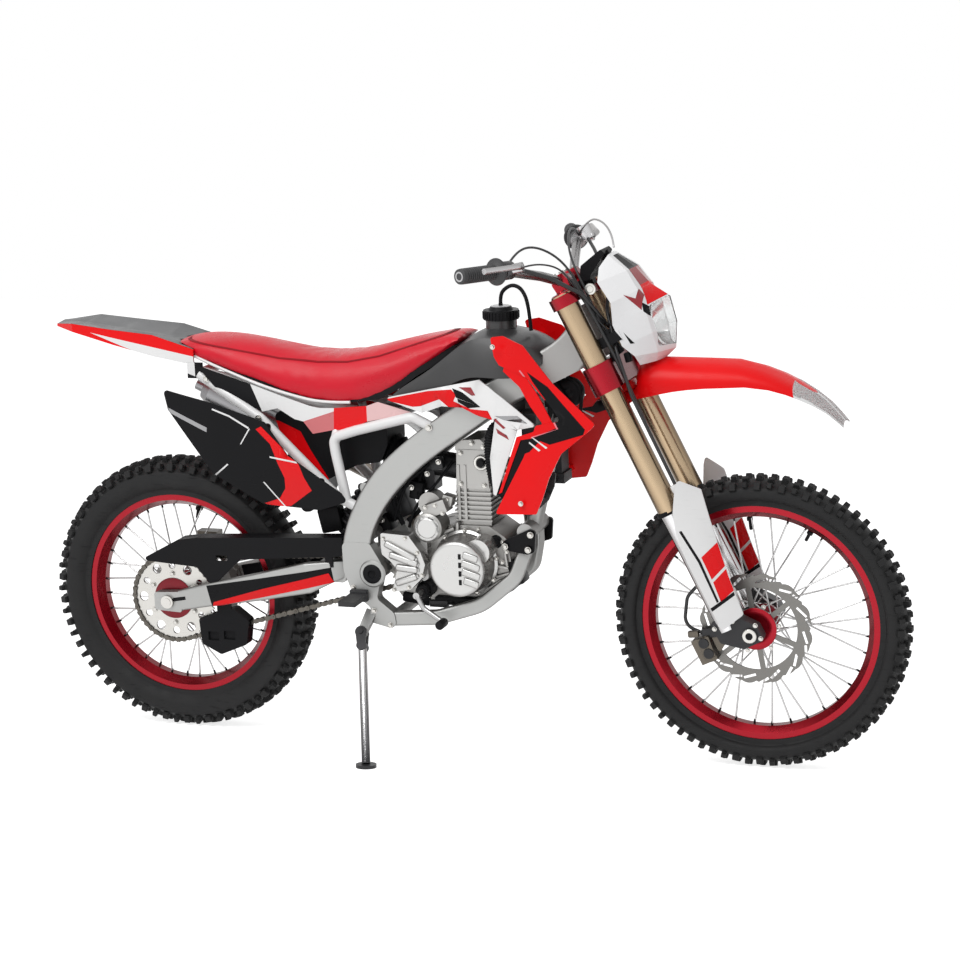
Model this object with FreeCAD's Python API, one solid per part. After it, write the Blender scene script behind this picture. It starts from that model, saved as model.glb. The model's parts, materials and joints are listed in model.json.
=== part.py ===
# Off-road motorcycle leaning on its side stand, millimetres.
# Modelled upright: +X forward, +Y left, +Z up. Then leaned as it parks.
import FreeCAD, Part
import math
import os

V = FreeCAD.Vector

# Stance
lean_deg = 7.0
fit = 0.3
running = 0.05

# Front end: lower bearing seat of the steering head, rake and offsets
head_x = 360.0
head_z = 946.0
rake_deg = 26.0
head_length = 128.0
clamp_offset = 22.0
axle_lead = 44.0
leg_spread = 105.0

# Rear end: swingarm pivot and arm
pivot_x = -175.0
pivot_z = 446.0
swingarm_length = 560.5

# Front wheel
front_radius = 345.0
front_width = 88.0
front_crown = 62.0
front_bead = 266.7
front_rim_width = 51.0
# Rear wheel
rear_radius = 343.0
rear_width = 110.0
rear_crown = 74.0
rear_bead = 241.3
rear_rim_width = 66.0

spoke_count = 36
spoke_radius = 2.0
rim_lip = 15.0
rim_well = 14.0
knob_height = 13.0
knob_undercut = 3.0
knob_share = 0.55
front_marks = (9.0, 22.0, 28.0)
rear_marks = (12.0, 30.0, 36.0)
axle_radius = 10.0

# Brakes
front_disc_radius = 130.0
rear_disc_radius = 120.0
disc_thickness = 3.5
front_disc_y = -64.0
rear_disc_y = 70.0

# Chain drive
chain_pitch = 15.875
rear_teeth = 42
front_teeth = 13
drive_x = -110.0
chain_y = -74.0
chain_half_width = 6.5
chain_gap = 3.2
plate_half_height = 6.0

# Fork
outer_tube_radius = 27.0
inner_tube_radius = 23.5
outer_tube_end = -372.0
outer_tube_top = 170.0
steer_limit_deg = 40.0
upper_clamp_t = 154.0
lower_clamp_t = -38.0
upper_clamp_thickness = 26.0
lower_clamp_thickness = 66.0
stem_radius = 14.0
bearing_depth = 3.0
head_tube_radius = 30.0
guard_radius = 34.0
foot_half_width = 18.0
hose_radius = 4.0
plastic = 3.5

# Handlebar
bar_radius = 11.0
bar_half_width = 404.0
bar_end_run = V(48, -129, -29)
bar_seat = V(14, 48, 196)
grip_radius = 16.5
grip_length = 122.0
bar_bore_radius = 7.5
bar_bore_depth = 60.0

# Frame and engine
pivot_bolt_radius = 9.0
plate_inner_y = 96.0
plate_outer_y = 128.0
rail_y = 106.0
case_half_width = 62.0
cylinder_half_width = 60.0
crank_x = 40.0
crank_z = 470.0
shock_low = V(-306, 0, 482)
shock_top = V(-196, 0, 646)
spring_radius = 30.0
silencer_start = V(-330, 154, 645)
silencer_end = V(-712, 150, 826)
silencer_radius = 36.0

# Side stand
stand_pivot = V(-200, -152, 306)
stand_foot_y = -340.0
stand_foot_x = -130.0
stand_bolt_radius = 6.0
stand_leg_radius = 10.0
folded_direction = V(-0.985, -0.1, -0.03)

rake = math.radians(rake_deg)
lean = math.radians(lean_deg)

# Wheel centres: both tyres touch the ground when leaned
front_axle_z = front_radius - front_crown + front_crown / math.cos(lean)
rear_axle_z = rear_radius - rear_crown + rear_crown / math.cos(lean)
steer_offset = clamp_offset + axle_lead
axle_drop = (head_z - front_axle_z + steer_offset * math.sin(rake)) / math.cos(rake)
front_axle_x = head_x + axle_drop * math.sin(rake) + steer_offset * math.cos(rake)
rear_axle_x = pivot_x - math.sqrt(swingarm_length ** 2 - (pivot_z - rear_axle_z) ** 2)
front_axle = V(front_axle_x, 0, front_axle_z)
rear_axle = V(rear_axle_x, 0, rear_axle_z)
axle_t = -axle_drop


# Wires and solids

def rounded_path(points, radius, closed=False):
    """Straight runs through the points with tangent arcs at the corners."""
    count = len(points)
    corners = range(count) if closed else range(1, count - 1)
    into = list(points)
    out = list(points)
    middle = [None] * count
    for i in corners:
        here = points[i]
        back = points[i - 1] - here
        ahead = points[(i + 1) % count] - here
        room = 0.48 * min(back.Length, ahead.Length)
        back.normalize()
        ahead.normalize()
        half = back.getAngle(ahead) / 2
        own = radius[i] if isinstance(radius, list) else radius
        if own < 0.01 or half > 1.565:
            continue
        own = min(own, room * math.tan(half))
        into[i] = here + back * (own / math.tan(half))
        out[i] = here + ahead * (own / math.tan(half))
        middle[i] = here + (back + ahead).normalize() * (own / math.sin(half) - own)
    edges = []
    for i in range(count):
        if middle[i] is not None:
            edges.append(Part.Arc(into[i], middle[i], out[i]).toShape())
        if i + 1 < count or closed:
            after = into[(i + 1) % count]
            if (after - out[i]).Length > 0.001:
                edges.append(Part.LineSegment(out[i], after).toShape())
    return Part.Wire(edges)


def side_face(outline, y, radius=0):
    """A face in a side view plane from (x, z) points."""
    points = [V(x, y, z) for x, z in outline]
    return Part.Face(rounded_path(points, radius, True))


def side_plate(outline, y0, y1, radius=0):
    """A plate in side view, from y0 to y1."""
    return side_face(outline, y0, radius).extrude(V(0, y1 - y0, 0))


def cylinder(start, end, radius):
    return Part.makeCylinder(radius, (end - start).Length, start, end - start)


def across(x, z, radius, y0, y1):
    """A round bar across the machine."""
    return Part.makeCylinder(radius, y1 - y0, V(x, y0, z), V(0, 1, 0))


def tube(points, radius, bend):
    """A round bar along straight runs joined by arcs."""
    path = rounded_path(points, bend)
    ring = Part.Wire([Part.makeCircle(radius, points[0], points[1] - points[0])])
    return path.makePipeShell([ring], True, False)


def loft(wires, ruled=False):
    return Part.makeLoft(wires, True, ruled)


def revolve(profile, centre):
    """A ring about a wheel axle from (y, radius) points; four numbers are an arc."""
    edges = []
    here = profile[0]
    for step in list(profile[1:]) + [profile[0]]:
        start = V(0, here[-2], here[-1])
        end = V(0, step[-2], step[-1])
        if len(step) == 4:
            edges.append(Part.Arc(start, V(0, step[0], step[1]), end).toShape())
        elif (end - start).Length > 0.001:
            edges.append(Part.LineSegment(start, end).toShape())
        here = step
    face = Part.Face(Part.Wire(edges))
    ring = face.revolve(V(0, 0, 0), V(0, 1, 0), 360)
    ring.translate(centre)
    return ring


def mirrored(shape):
    """The same piece on the other side."""
    return shape.mirror(V(0, 0, 0), V(0, 1, 0))


def both_sides(shape):
    return [shape, mirrored(shape)]


def fused(shapes):
    result = shapes[0].multiFuse(shapes[1:]) if len(shapes) > 1 else shapes[0]
    return result.removeSplitter()


def steer_place(shape):
    """From steering axes (forward, left, up the head) to the machine."""
    placed = shape.copy()
    placed.rotate(V(0, 0, 0), V(0, 1, 0), -rake_deg)
    placed.translate(V(head_x, 0, head_z))
    return placed


def steer_point(f, y, t):
    return V(head_x + f * math.cos(rake) - t * math.sin(rake), y,
             head_z + f * math.sin(rake) + t * math.cos(rake))


def box(x0, x1, y0, y1, z0, z1):
    return Part.makeBox(x1 - x0, y1 - y0, z1 - z0, V(x0, y0, z0))


# Wheels

def tyre_face(points):
    return Part.Face(Part.makePolygon(points + [points[0]]))


def faceted(faces, centre):
    """A closed solid from flat faces that share their edges."""
    shell = Part.makeShell(faces)
    shell.sewShape()
    solid = Part.Solid(shell)
    if solid.Volume < 0:
        solid.reverse()
    solid.translate(centre)
    return solid


def tyre(centre, radius, width, crown, bead, rim_width, marks, columns):
    """A knobbed tyre: each column of flat facets is a row of blocks and the gap behind it."""
    half = width / 2
    edge = half - knob_undercut
    step = 2 * math.pi / columns
    knob_half = step * knob_share / 2
    lines = [-edge] + [-m for m in reversed(marks)] + list(marks) + [edge]
    lip = bead + rim_lip + fit
    walls = [(half - 0.5, radius - 44), (rim_width / 2 + 1, lip), (rim_width / 2 - 6, lip),
             (rim_width / 2 - 6, bead + fit)]
    faces = []

    def spot(angle, y, r, half_angle):
        r = r / math.cos(half_angle)
        return V(r * math.cos(angle), y, r * math.sin(angle))

    def tread(angle, i, top):
        y = lines[i]
        if top and abs(y) == edge:
            y = math.copysign(half, y)
        r = radius - crown + math.sqrt(crown ** 2 - y ** 2) - (0 if top else knob_height)
        return spot(angle, y, r, knob_half)

    def wall(angle, side, i):
        return spot(angle, side * walls[i][0], walls[i][1], step / 2)

    for k in range(columns):
        a0 = -math.pi / 2 + k * step - knob_half
        a1 = a0 + 2 * knob_half
        a2 = a0 + step
        blocks = (0, 2, 4, 6) if k % 2 else (0, 3, 6)
        for i in range(7):
            j = i + 1
            faces.append([tread(a1, i, 0), tread(a2, i, 0), tread(a2, j, 0), tread(a1, j, 0)])
            if i not in blocks:
                faces.append([tread(a0, i, 0), tread(a1, i, 0), tread(a1, j, 0), tread(a0, j, 0)])
                continue
            faces.append([tread(a0, i, 1), tread(a1, i, 1), tread(a1, j, 1), tread(a0, j, 1)])
            for a in (a0, a1):
                faces.append([tread(a, i, 0), tread(a, j, 0), tread(a, j, 1), tread(a, i, 1)])
            for n in (i, j):
                faces.append([tread(a0, n, 0), tread(a1, n, 0), tread(a1, n, 1), tread(a0, n, 1)])
        for side, n in ((-1, 0), (1, 7)):
            faces.append([tread(a0, n, 0), tread(a1, n, 0), wall(a0, side, 0)])
            faces.append([tread(a1, n, 0), wall(a2, side, 0), wall(a0, side, 0)])
            faces.append([tread(a1, n, 0), tread(a2, n, 0), wall(a2, side, 0)])
            for i in range(3):
                faces.append([wall(a0, side, i), wall(a2, side, i),
                              wall(a2, side, i + 1), wall(a0, side, i + 1)])
        faces.append([wall(a0, -1, 3), wall(a2, -1, 3), wall(a2, 1, 3), wall(a0, 1, 3)])
    return faceted([tyre_face(points) for points in faces], centre)


def rim(centre, bead, rim_width):
    """A drop-centre rim section."""
    half = rim_width / 2
    lip = bead + rim_lip
    profile = [(-half, bead - 5), (-half, lip), (-half + 4, lip), (-half + 5.5, bead),
               (-half + 13, bead - 1), (-8, bead - rim_well), (8, bead - rim_well),
               (half - 13, bead - 1), (half - 5.5, bead), (half - 4, lip), (half, lip),
               (half, bead - 5), (11, bead - rim_well - 5), (-11, bead - rim_well - 5)]
    return revolve(profile, centre)


def hub(centre, barrel, flange, flange_y, left_end, right_end, left_r, right_r):
    """A spool with two spoke flanges and a carrier at each end."""
    bore = axle_radius + running
    profile = [(left_end, bore), (left_end, left_r), (-flange_y - 7, left_r),
               (-flange_y - 4, flange), (-flange_y + 4, flange), (-flange_y + 10, barrel),
               (flange_y - 10, barrel), (flange_y - 4, flange), (flange_y + 4, flange),
               (flange_y + 7, right_r), (right_end, right_r), (right_end, bore)]
    return revolve(profile, centre)


def spokes(centre, bead, flange, flange_y, seats):
    """Crossed spokes seated on the hub flanges and the rim."""
    inner = flange - 1
    outer = bead - rim_well - 4
    solids = []
    for i in range(spoke_count):
        side = -1 if i % 2 else 1
        lean_way = 1 if (i // 2) % 2 else -1
        at_rim = 2 * math.pi * (i + 0.5) / spoke_count
        at_hub = at_rim + lean_way * math.radians(62)
        start = V(inner * math.cos(at_hub), side * flange_y, inner * math.sin(at_hub))
        end = V(outer * math.cos(at_rim), side * 4, outer * math.sin(at_rim))
        solids.append(cylinder(centre + start, centre + end, spoke_radius))
    return Part.makeCompound(solids).cut(seats[0]).cut(seats[1])


def wave_disc(centre, radius, y, inner, lobes, bolt_circle):
    """A brake disc with a wavy rim, slots and spokes to its bolts."""
    y0 = y - disc_thickness / 2
    edges = []
    for i in range(lobes):
        a = [2 * math.pi * (i + k / 4) / lobes for k in range(5)]
        r = [radius - 7, radius - 2, radius - 2, radius, radius - 7]
        p = [V(r[k] * math.cos(a[k]), 0, r[k] * math.sin(a[k])) for k in range(5)]
        edges.append(Part.Arc(p[0], p[1], p[2]).toShape())
        edges.append(Part.Arc(p[2], p[3], p[4]).toShape())
    outer = Part.Face(Part.Wire(edges)).extrude(V(0, disc_thickness, 0))
    ring = outer.cut(Part.makeCylinder(inner, disc_thickness, V(0, 0, 0), V(0, 1, 0)))
    slot_r = (radius + inner) / 2 + 6
    cutters = []
    for i in range(lobes * 2):
        a = 360 * (i + 0.5) / (lobes * 2)
        slot = box(-15, 15, 0, disc_thickness, -3.2, 3.2)
        slot.rotate(V(0, 0, 0), V(0, 1, 0), 65)
        slot.translate(V(slot_r + (5 if i % 2 else -5), 0, 0))
        slot.rotate(V(0, 0, 0), V(0, 1, 0), a)
        cutters.append(slot)
    ring = ring.cut(Part.makeCompound(cutters))
    carrier = Part.makeCylinder(bolt_circle + 9, disc_thickness, V(0, 0, 0), V(0, 1, 0))
    arms = []
    for i in range(6):
        arm = box(bolt_circle, inner + 4, 0, disc_thickness, -6, 6)
        arm.rotate(V(0, 0, 0), V(0, 1, 0), 60 * i + 20)
        arms.append(arm)
    bore = Part.makeCylinder(bolt_circle - 9, disc_thickness, V(0, 0, 0), V(0, 1, 0))
    disc = fused([ring, carrier] + arms).cut(bore)
    disc.translate(V(centre.x, y0, centre.z))
    return disc


def sprocket_radius(teeth):
    return chain_pitch / 2 / math.sin(math.pi / teeth)


def sprocket(centre, teeth, y, bore, phase):
    """A toothed wheel; the roots seat the chain's rollers."""
    pitch_r = sprocket_radius(teeth)
    root = pitch_r - 5.2
    tip = pitch_r + 3.5
    thickness = 5.0
    step = 2 * math.pi / teeth
    edges = []
    for i in range(teeth):
        a = phase + i * step
        spots = [(a - 0.27 * step, pitch_r - 2.5), (a, root), (a + 0.27 * step, pitch_r - 2.5),
                 (a + 0.44 * step, tip), (a + 0.56 * step, tip), (a + 0.73 * step, pitch_r - 2.5)]
        p = [V(r * math.cos(b), 0, r * math.sin(b)) for b, r in spots]
        edges.append(Part.Arc(p[0], p[1], p[2]).toShape())
        edges.append(Part.LineSegment(p[2], p[3]).toShape())
        edges.append(Part.LineSegment(p[3], p[4]).toShape())
        edges.append(Part.LineSegment(p[4], p[5]).toShape())
    wheel = Part.Face(Part.Wire(edges)).extrude(V(0, thickness, 0))
    holes = [Part.makeCylinder(bore, thickness, V(0, 0, 0), V(0, 1, 0))]
    if teeth > 20:
        for i in range(12):
            b = 2 * math.pi * i / 12
            spot = V((pitch_r - 24) * math.cos(b), 0, (pitch_r - 24) * math.sin(b))
            holes.append(Part.makeCylinder(9 if i % 2 else 12, thickness, spot, V(0, 1, 0)))
    wheel = wheel.cut(Part.makeCompound(holes))
    wheel.translate(V(centre.x, y - thickness / 2, centre.z))
    return wheel


# Chain drive

def chain_loop(gap):
    """Length of the pitch line round both sprockets, and its slope to their centres."""
    big = sprocket_radius(rear_teeth)
    small = sprocket_radius(front_teeth)
    turn = math.asin((big - small) / gap)
    return 2 * gap * math.cos(turn) + math.pi * (big + small) + 2 * turn * (big - small), turn


def chain_links():
    """The even number of links nearest to the wanted place of the front sprocket."""
    gap = math.hypot(drive_x - rear_axle.x, pivot_z - rear_axle.z)
    return 2 * round(chain_loop(gap)[0] / chain_pitch / 2)


def drive_centre():
    """The front sprocket's place, found so that the chain is whole links long."""
    near = sprocket_radius(rear_teeth) * 2
    far = 4 * near
    for _ in range(60):
        gap = (near + far) / 2
        if chain_loop(gap)[0] < chain_links() * chain_pitch:
            near = gap
        else:
            far = gap
    rise = math.asin((pivot_z - rear_axle.z) / gap)
    return V(rear_axle.x + gap * math.cos(rise), 0, pivot_z), rise, chain_loop(gap)[1]


def chain_band(grow, y0, y1):
    """The loop of the chain grown or shrunk from its pitch line."""
    front, rise, turn = drive_centre()
    big = sprocket_radius(rear_teeth) + grow
    small = sprocket_radius(front_teeth) + grow

    def spot(centre, radius, angle):
        return V(centre.x + radius * math.cos(angle), y0, centre.z + radius * math.sin(angle))
    up = rise + math.pi / 2 - turn
    down = rise - math.pi / 2 + turn
    rear_top = spot(rear_axle, big, up)
    rear_low = spot(rear_axle, big, down)
    front_top = spot(front, small, up)
    front_low = spot(front, small, down)
    edges = [Part.LineSegment(rear_top, front_top).toShape(),
             Part.Arc(front_top, spot(front, small, rise), front_low).toShape(),
             Part.LineSegment(front_low, rear_low).toShape(),
             Part.Arc(rear_low, spot(rear_axle, big, rise + math.pi), rear_top).toShape()]
    return Part.Face(Part.Wire(edges)).extrude(V(0, y1 - y0, 0))


def pitch_spot(run):
    """Place and outward direction at a length along the pitch line."""
    front, rise, turn = drive_centre()
    big = sprocket_radius(rear_teeth)
    small = sprocket_radius(front_teeth)
    up = rise + math.pi / 2 - turn
    straight = math.hypot(front.x - rear_axle.x, front.z - rear_axle.z) * math.cos(turn)
    front_arc = small * (math.pi - 2 * turn)
    if run < straight:
        out = V(math.cos(up), 0, math.sin(up))
        return rear_axle + out * big + V(math.sin(up), 0, -math.cos(up)) * run, out
    run -= straight
    if run < front_arc:
        a = up - run / small
        return front + V(math.cos(a), 0, math.sin(a)) * small, V(math.cos(a), 0, math.sin(a))
    run -= front_arc
    down = rise - math.pi / 2 + turn
    if run < straight:
        out = V(math.cos(down), 0, math.sin(down))
        return front + out * small + V(math.sin(down), 0, -math.cos(down)) * run, out
    a = down - (run - straight) / big
    return rear_axle + V(math.cos(a), 0, math.sin(a)) * big, V(math.cos(a), 0, math.sin(a))


def chain_row(stations, inner_y, outer_ys):
    """A closed row of link plates; odd links stand further out where two depths are given."""
    faces = []
    count = len(stations)
    rims = []
    for spot, out in stations:
        rims.append((spot - out * plate_half_height, spot + out * plate_half_height))

    def at(i, edge, y):
        p = rims[i % count][edge]
        return V(p.x, chain_y + y, p.z)
    for i in range(count):
        ys = [inner_y] + list(outer_ys if i % 2 or len(outer_ys) == 1 else outer_ys[:1])
        out_y = ys[-1]
        for edge in (0, 1):
            front = [at(i, edge, y) for y in ys]
            faces.append(front + [at(i + 1, edge, y) for y in reversed(ys)])
        for y in (inner_y, out_y):
            faces.append([at(i, 0, y), at(i, 1, y), at(i + 1, 1, y), at(i + 1, 0, y)])
        if len(outer_ys) > 1:
            low, high = outer_ys
            faces.append([at(i, 0, low), at(i, 1, low), at(i, 1, high), at(i, 0, high)])
    return faceted([tyre_face(points) for points in faces], V(0, 0, 0))


def chain():
    """Two rows of plates beside the sprocket teeth, the outer one with its links standing out."""
    links = chain_links()
    near = [pitch_spot(i * chain_pitch) for i in range(links)]
    middle = chain_half_width - 1.5
    rows = [chain_row(near, -chain_gap, (-middle, -chain_half_width))]
    bends = []
    for i in range(links):
        turned = near[i][1].getAngle(near[i - 1][1]) + near[i][1].getAngle(near[(i + 1) % links][1])
        if turned > 0.001:
            bends.append(near[i])
    rows.append(chain_row(bends, chain_gap, (chain_half_width,)))
    return rows


# Steering and fork, in steering axes

def fork_leg_at(t0, t1, radius, side):
    return Part.makeCylinder(radius, t1 - t0, V(clamp_offset, side * leg_spread, t0))


def clamp(t, thickness, lobe):
    """A clamp plate with a lobe round each leg and one round the stem."""
    t0 = t - thickness / 2
    body = [Part.makeCylinder(lobe, thickness, V(clamp_offset, s * leg_spread, t0)) for s in (-1, 1)]
    web = [V(-26, -30, t0), V(-26, 30, t0), V(clamp_offset - 24, leg_spread, t0),
           V(clamp_offset + 22, leg_spread, t0), V(44, 40, t0), V(44, -40, t0),
           V(clamp_offset + 22, -leg_spread, t0), V(clamp_offset - 24, -leg_spread, t0)]
    plate = Part.Face(rounded_path(web, 10, True)).extrude(V(0, 0, thickness))
    whole = fused(body + [plate, Part.makeCylinder(stem_radius + 14, thickness, V(0, 0, t0))])
    for s in (-1, 1):
        whole = whole.cut(fork_leg_at(t0 - 1, t0 + thickness + 1, outer_tube_radius, s))
        slit = box(-60, clamp_offset, s * leg_spread - 1.5, s * leg_spread + 1.5, t0, t0 + thickness)
        whole = whole.cut(slit)
    return whole


def triple_clamps():
    """Upper and lower clamps joined by the stem, with the bar mounts."""
    upper = clamp(upper_clamp_t, upper_clamp_thickness, outer_tube_radius + 7)
    lower = clamp(lower_clamp_t, lower_clamp_thickness, outer_tube_radius + 9)
    low = lower_clamp_t - lower_clamp_thickness / 2
    top = upper_clamp_t + upper_clamp_thickness / 2
    stem = Part.makeCylinder(stem_radius, top + 6 - low, V(0, 0, low))
    nut = Part.makeCylinder(19, 9, V(0, 0, top))
    pieces = [upper, lower, stem, nut]
    for t in (4, head_length - 18):
        pieces.append(Part.makeCylinder(stem_radius + bearing_depth - running, 14, V(0, 0, t)))
    bar = V(bar_seat.x, 0, bar_seat.z)
    for s in (-1, 1):
        foot = side_plate([(bar.x - 16, top - 1), (bar.x + 18, top - 1), (bar.x + 20, bar.z),
                           (bar.x + 14, bar.z + 17), (bar.x - 14, bar.z + 17), (bar.x - 20, bar.z)],
                          s * bar_seat.y - 13, s * bar_seat.y + 13, 6)
        pieces.append(foot)
    return fused(pieces).cut(handlebar_tube())


def bar_end(side):
    return V(-62, side * bar_half_width, 301)


def bar_inner(side):
    """The bend inboard of the grip; the straight run keeps its direction and length."""
    return bar_end(side) + V(bar_end_run.x, side * bar_end_run.y, bar_end_run.z)


def bar_points():
    half = [bar_end(1), bar_inner(1), V(5, 130, 227), bar_seat]
    return half + [V(p.x, -p.y, p.z) for p in reversed(half)]


def handlebar_tube():
    return tube(bar_points(), bar_radius, 60)


def handlebar():
    """A bent tube, hollow at its ends."""
    bar = handlebar_tube()
    for s in (-1, 1):
        inward = (bar_inner(s) - bar_end(s)).normalize()
        bar = bar.cut(Part.makeCylinder(bar_bore_radius, bar_bore_depth, bar_end(s), inward))
    return bar


def grips():
    """A rubber sleeve with a flange at its inner end."""
    solids = []
    for s in (-1, 1):
        end = bar_end(s)
        inward = (bar_inner(s) - end).normalize()
        sleeve = Part.makeCylinder(grip_radius, grip_length, end, inward)
        flange = Part.makeCylinder(29, 6, end + inward * (grip_length - 6), inward)
        bore = Part.makeCylinder(bar_radius, grip_length + 2, end - inward, inward)
        solids.append(sleeve.fuse(flange).cut(bore).removeSplitter())
    return Part.makeCompound(solids)


def hand_levers():
    """Clamps with a blade lever ahead of each grip, one with a reservoir."""
    solids = []
    bar = handlebar_tube()
    for s in (-1, 1):
        outer = bar_end(s)
        inward = (bar_inner(s) - outer).normalize()
        at = outer + inward * (grip_length + 14)
        perch = Part.makeCylinder(19, 26, at, inward)
        ahead = V(1, 0, -0.25).normalize()
        arm = cylinder(at + inward * 13, at + inward * 13 + ahead * 40, 11)
        pivot = at + inward * 8 + ahead * 40
        tip = outer + ahead * 52 + inward * 8
        blade = tube([pivot, pivot - inward * 30 + ahead * 14, tip], 6.5, 20)
        pieces = [perch, arm, blade]
        if s > 0:
            pieces.append(Part.makeCylinder(17, 34, at + inward * 13 + ahead * 26 - V(0, 0, 4),
                                            V(0, 0, 1)))
        solids.append(fused(pieces).cut(bar))
    return Part.makeCompound(solids)


def fork_tubes():
    legs = []
    for s in (-1, 1):
        leg = fork_leg_at(outer_tube_end, outer_tube_top, outer_tube_radius, s)
        bore = fork_leg_at(outer_tube_end - 1, outer_tube_end + 60, inner_tube_radius + running, s)
        legs.append(leg.cut(bore))
    return Part.makeCompound(legs)


def fork_lowers():
    """Inner tubes with the cast feet that clamp the axle."""
    legs = []
    axle_f = steer_offset
    for s in (-1, 1):
        top = outer_tube_end + 58
        leg = fork_leg_at(axle_t + 30, top, inner_tube_radius, s)
        foot = [(clamp_offset - 27, axle_t + 62), (clamp_offset + 27, axle_t + 62),
                (axle_f + 24, axle_t + 12), (axle_f + 24, axle_t - 22), (axle_f - 26, axle_t - 24),
                (clamp_offset - 27, axle_t + 10)]
        cast = side_plate(foot, s * leg_spread - foot_half_width,
                          s * leg_spread + foot_half_width, 9)
        whole = fused([leg, cast])
        legs.append(whole.cut(across(axle_f, axle_t, axle_radius, -200, 200)))
    return Part.makeCompound(legs)


def fork_guards():
    """Plastic guards round the front of each leg, each with a boss to the leg."""
    outline = [(78, -314), (112, -356), (102, -422), (84, -560), (77, -650), (20, -662), (18, -600),
               (17, -488), (24, -420), (37, -377), (64, -330)]
    shift = axle_t + 700
    outline = [(f, t + shift) for f, t in outline]
    sides = []
    for s in (-1, 1):
        half_f = 68
        outer = [V(clamp_offset - 8, s * (leg_spread + guard_radius + plastic), 0),
                 V(clamp_offset + half_f * 0.75, s * (leg_spread + guard_radius - 8), 0),
                 V(clamp_offset + half_f + 36, s * (leg_spread - 6), 0)]
        away = V(0, -s * plastic, 0)
        inner = [p + away for p in outer]
        edges = [Part.Arc(*outer).toShape(), Part.LineSegment(outer[2], inner[2]).toShape(),
                 Part.Arc(inner[2], inner[1], inner[0]).toShape(),
                 Part.LineSegment(inner[0], outer[0]).toShape()]
        sheet = Part.Face(Part.Wire(edges)).extrude(V(0, 0, 500))
        sheet.translate(V(0, 0, axle_t))
        trim = side_plate(outline, -220, 220, 6)
        root = s * (leg_spread + inner_tube_radius + fit)
        tip = s * (leg_spread + guard_radius + 1)
        boss = across(clamp_offset, axle_t + 50, 7, min(root, tip), max(root, tip))
        sides.append(fused([sheet.common(trim), boss]))
    return Part.makeCompound(sides)


def front_axle_bar():
    end = leg_spread + foot_half_width
    bar = across(steer_offset, axle_t, axle_radius, -end - 4, end + 4)
    head = across(steer_offset, axle_t, 15, -end - 5, -end - fit)
    return bar.fuse(head).removeSplitter()



def mask_rows():
    """Sections from the top down: centre (f, t), rear edge (f, t, half width), crease share and y."""
    return [(V(140, 0, 205), V(112, 58, 186), 0.86, 34), (V(170, 0, 152), V(103, 88, 158), 0.92, 52),
            (V(186, 0, 102), V(112, 96, 104), 0.81, 62), (V(214, 0, 58), V(94, 98, 58), 0.62, 66),
            (V(203, 0, 1), V(92, 98, 6), 0.6, 64), (V(173, 0, -52), V(104, 86, -26), 0.61, 52),
            (V(142, 0, -62), V(100, 66, -50), 0.71, 40)]



def mask_line(row, inset):
    """A whole section line, flat, set back from the outer face."""
    centre, edge, share, crease_y = row
    root = V(edge.x, 0, edge.z)
    run = centre - root
    back = run * (inset / run.Length)
    crease = root + run * share - back * 0.85 + V(0, crease_y - inset * 0.6, 0)
    half = [edge - V(0, inset, 0), crease, centre - back]
    return half + [V(p.x, -p.y, p.z) for p in (half[1], half[0])]


def mask_shell(outer, inner):
    wires = []
    for row in mask_rows():
        ring = mask_line(row, outer) + list(reversed(mask_line(row, inner)))
        wires.append(Part.makePolygon(ring + [ring[0]]))
    return loft(wires, True)


def mask_room(inset):
    """The space behind the mask's face."""
    wires = []
    for row in mask_rows():
        line = mask_line(row, inset)
        wires.append(Part.makePolygon(line + [line[0]]))
    return loft(wires, True)


def lens_opening(gap):
    """The lamp's window as a prism along the forward direction."""
    outline = [(-58 + gap, 62 - gap), (58 - gap, 62 - gap), (50 - gap, -30 + gap), (0, -44 + gap),
               (-50 + gap, -30 + gap)]
    points = [V(90, y, t) for y, t in outline]
    face = Part.Face(rounded_path(points, 10, True))
    return face.extrude(V(200, 0, 0))


def headlight_mask():
    """A faceted shell with a window, held at its sides by a tab against each fork tube."""
    pieces = [mask_shell(0, plastic).cut(lens_opening(0))]
    for s in (-1, 1):
        pieces.append(box(clamp_offset, 100, min(s * 92, s * 98), max(s * 92, s * 98), 20, 44))
    whole = fused(pieces)
    for s in (-1, 1):
        whole = whole.cut(fork_leg_at(-100, outer_tube_top, outer_tube_radius + fit, s))
    return whole


def headlamp_lens():
    return mask_shell(0, plastic).common(lens_opening(0.4))


def headlamp_bowl():
    """A flared reflector up to the back of the lens, with its lamp socket."""
    outer = [V(84, 0, 0), V(84, 0, 18), V(104, 0, 22), V(230, 0, 96), V(230, 0, 92), V(108, 0, 18), V(108, 0, 0)]
    edges = [Part.LineSegment(outer[i], outer[(i + 1) % 7]).toShape() for i in range(7)]
    bowl = Part.Face(Part.Wire(edges)).revolve(V(0, 0, 0), V(1, 0, 0), 360)
    bowl.translate(V(0, 0, 12))
    return bowl.common(mask_room(plastic + fit))


def instrument():
    """A black display on the upper clamp, with the mask's upper hold."""
    outline = [(67, 208), (126, 221), (130, 209), (80, 180), (72, 170), (47, 177)]
    display = side_plate(outline, -34, 34, 4)
    neck = box(20, 70, -12, 12, upper_clamp_t + 4, upper_clamp_t + 26)
    hold = box(110, 133, -9, 9, 196, 214)
    whole = fused([display, neck, hold])
    return whole.cut(triple_clamps()).common(mask_room(plastic + fit).fuse(box(0, 135, -60, 60, 100, 260)))


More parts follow.
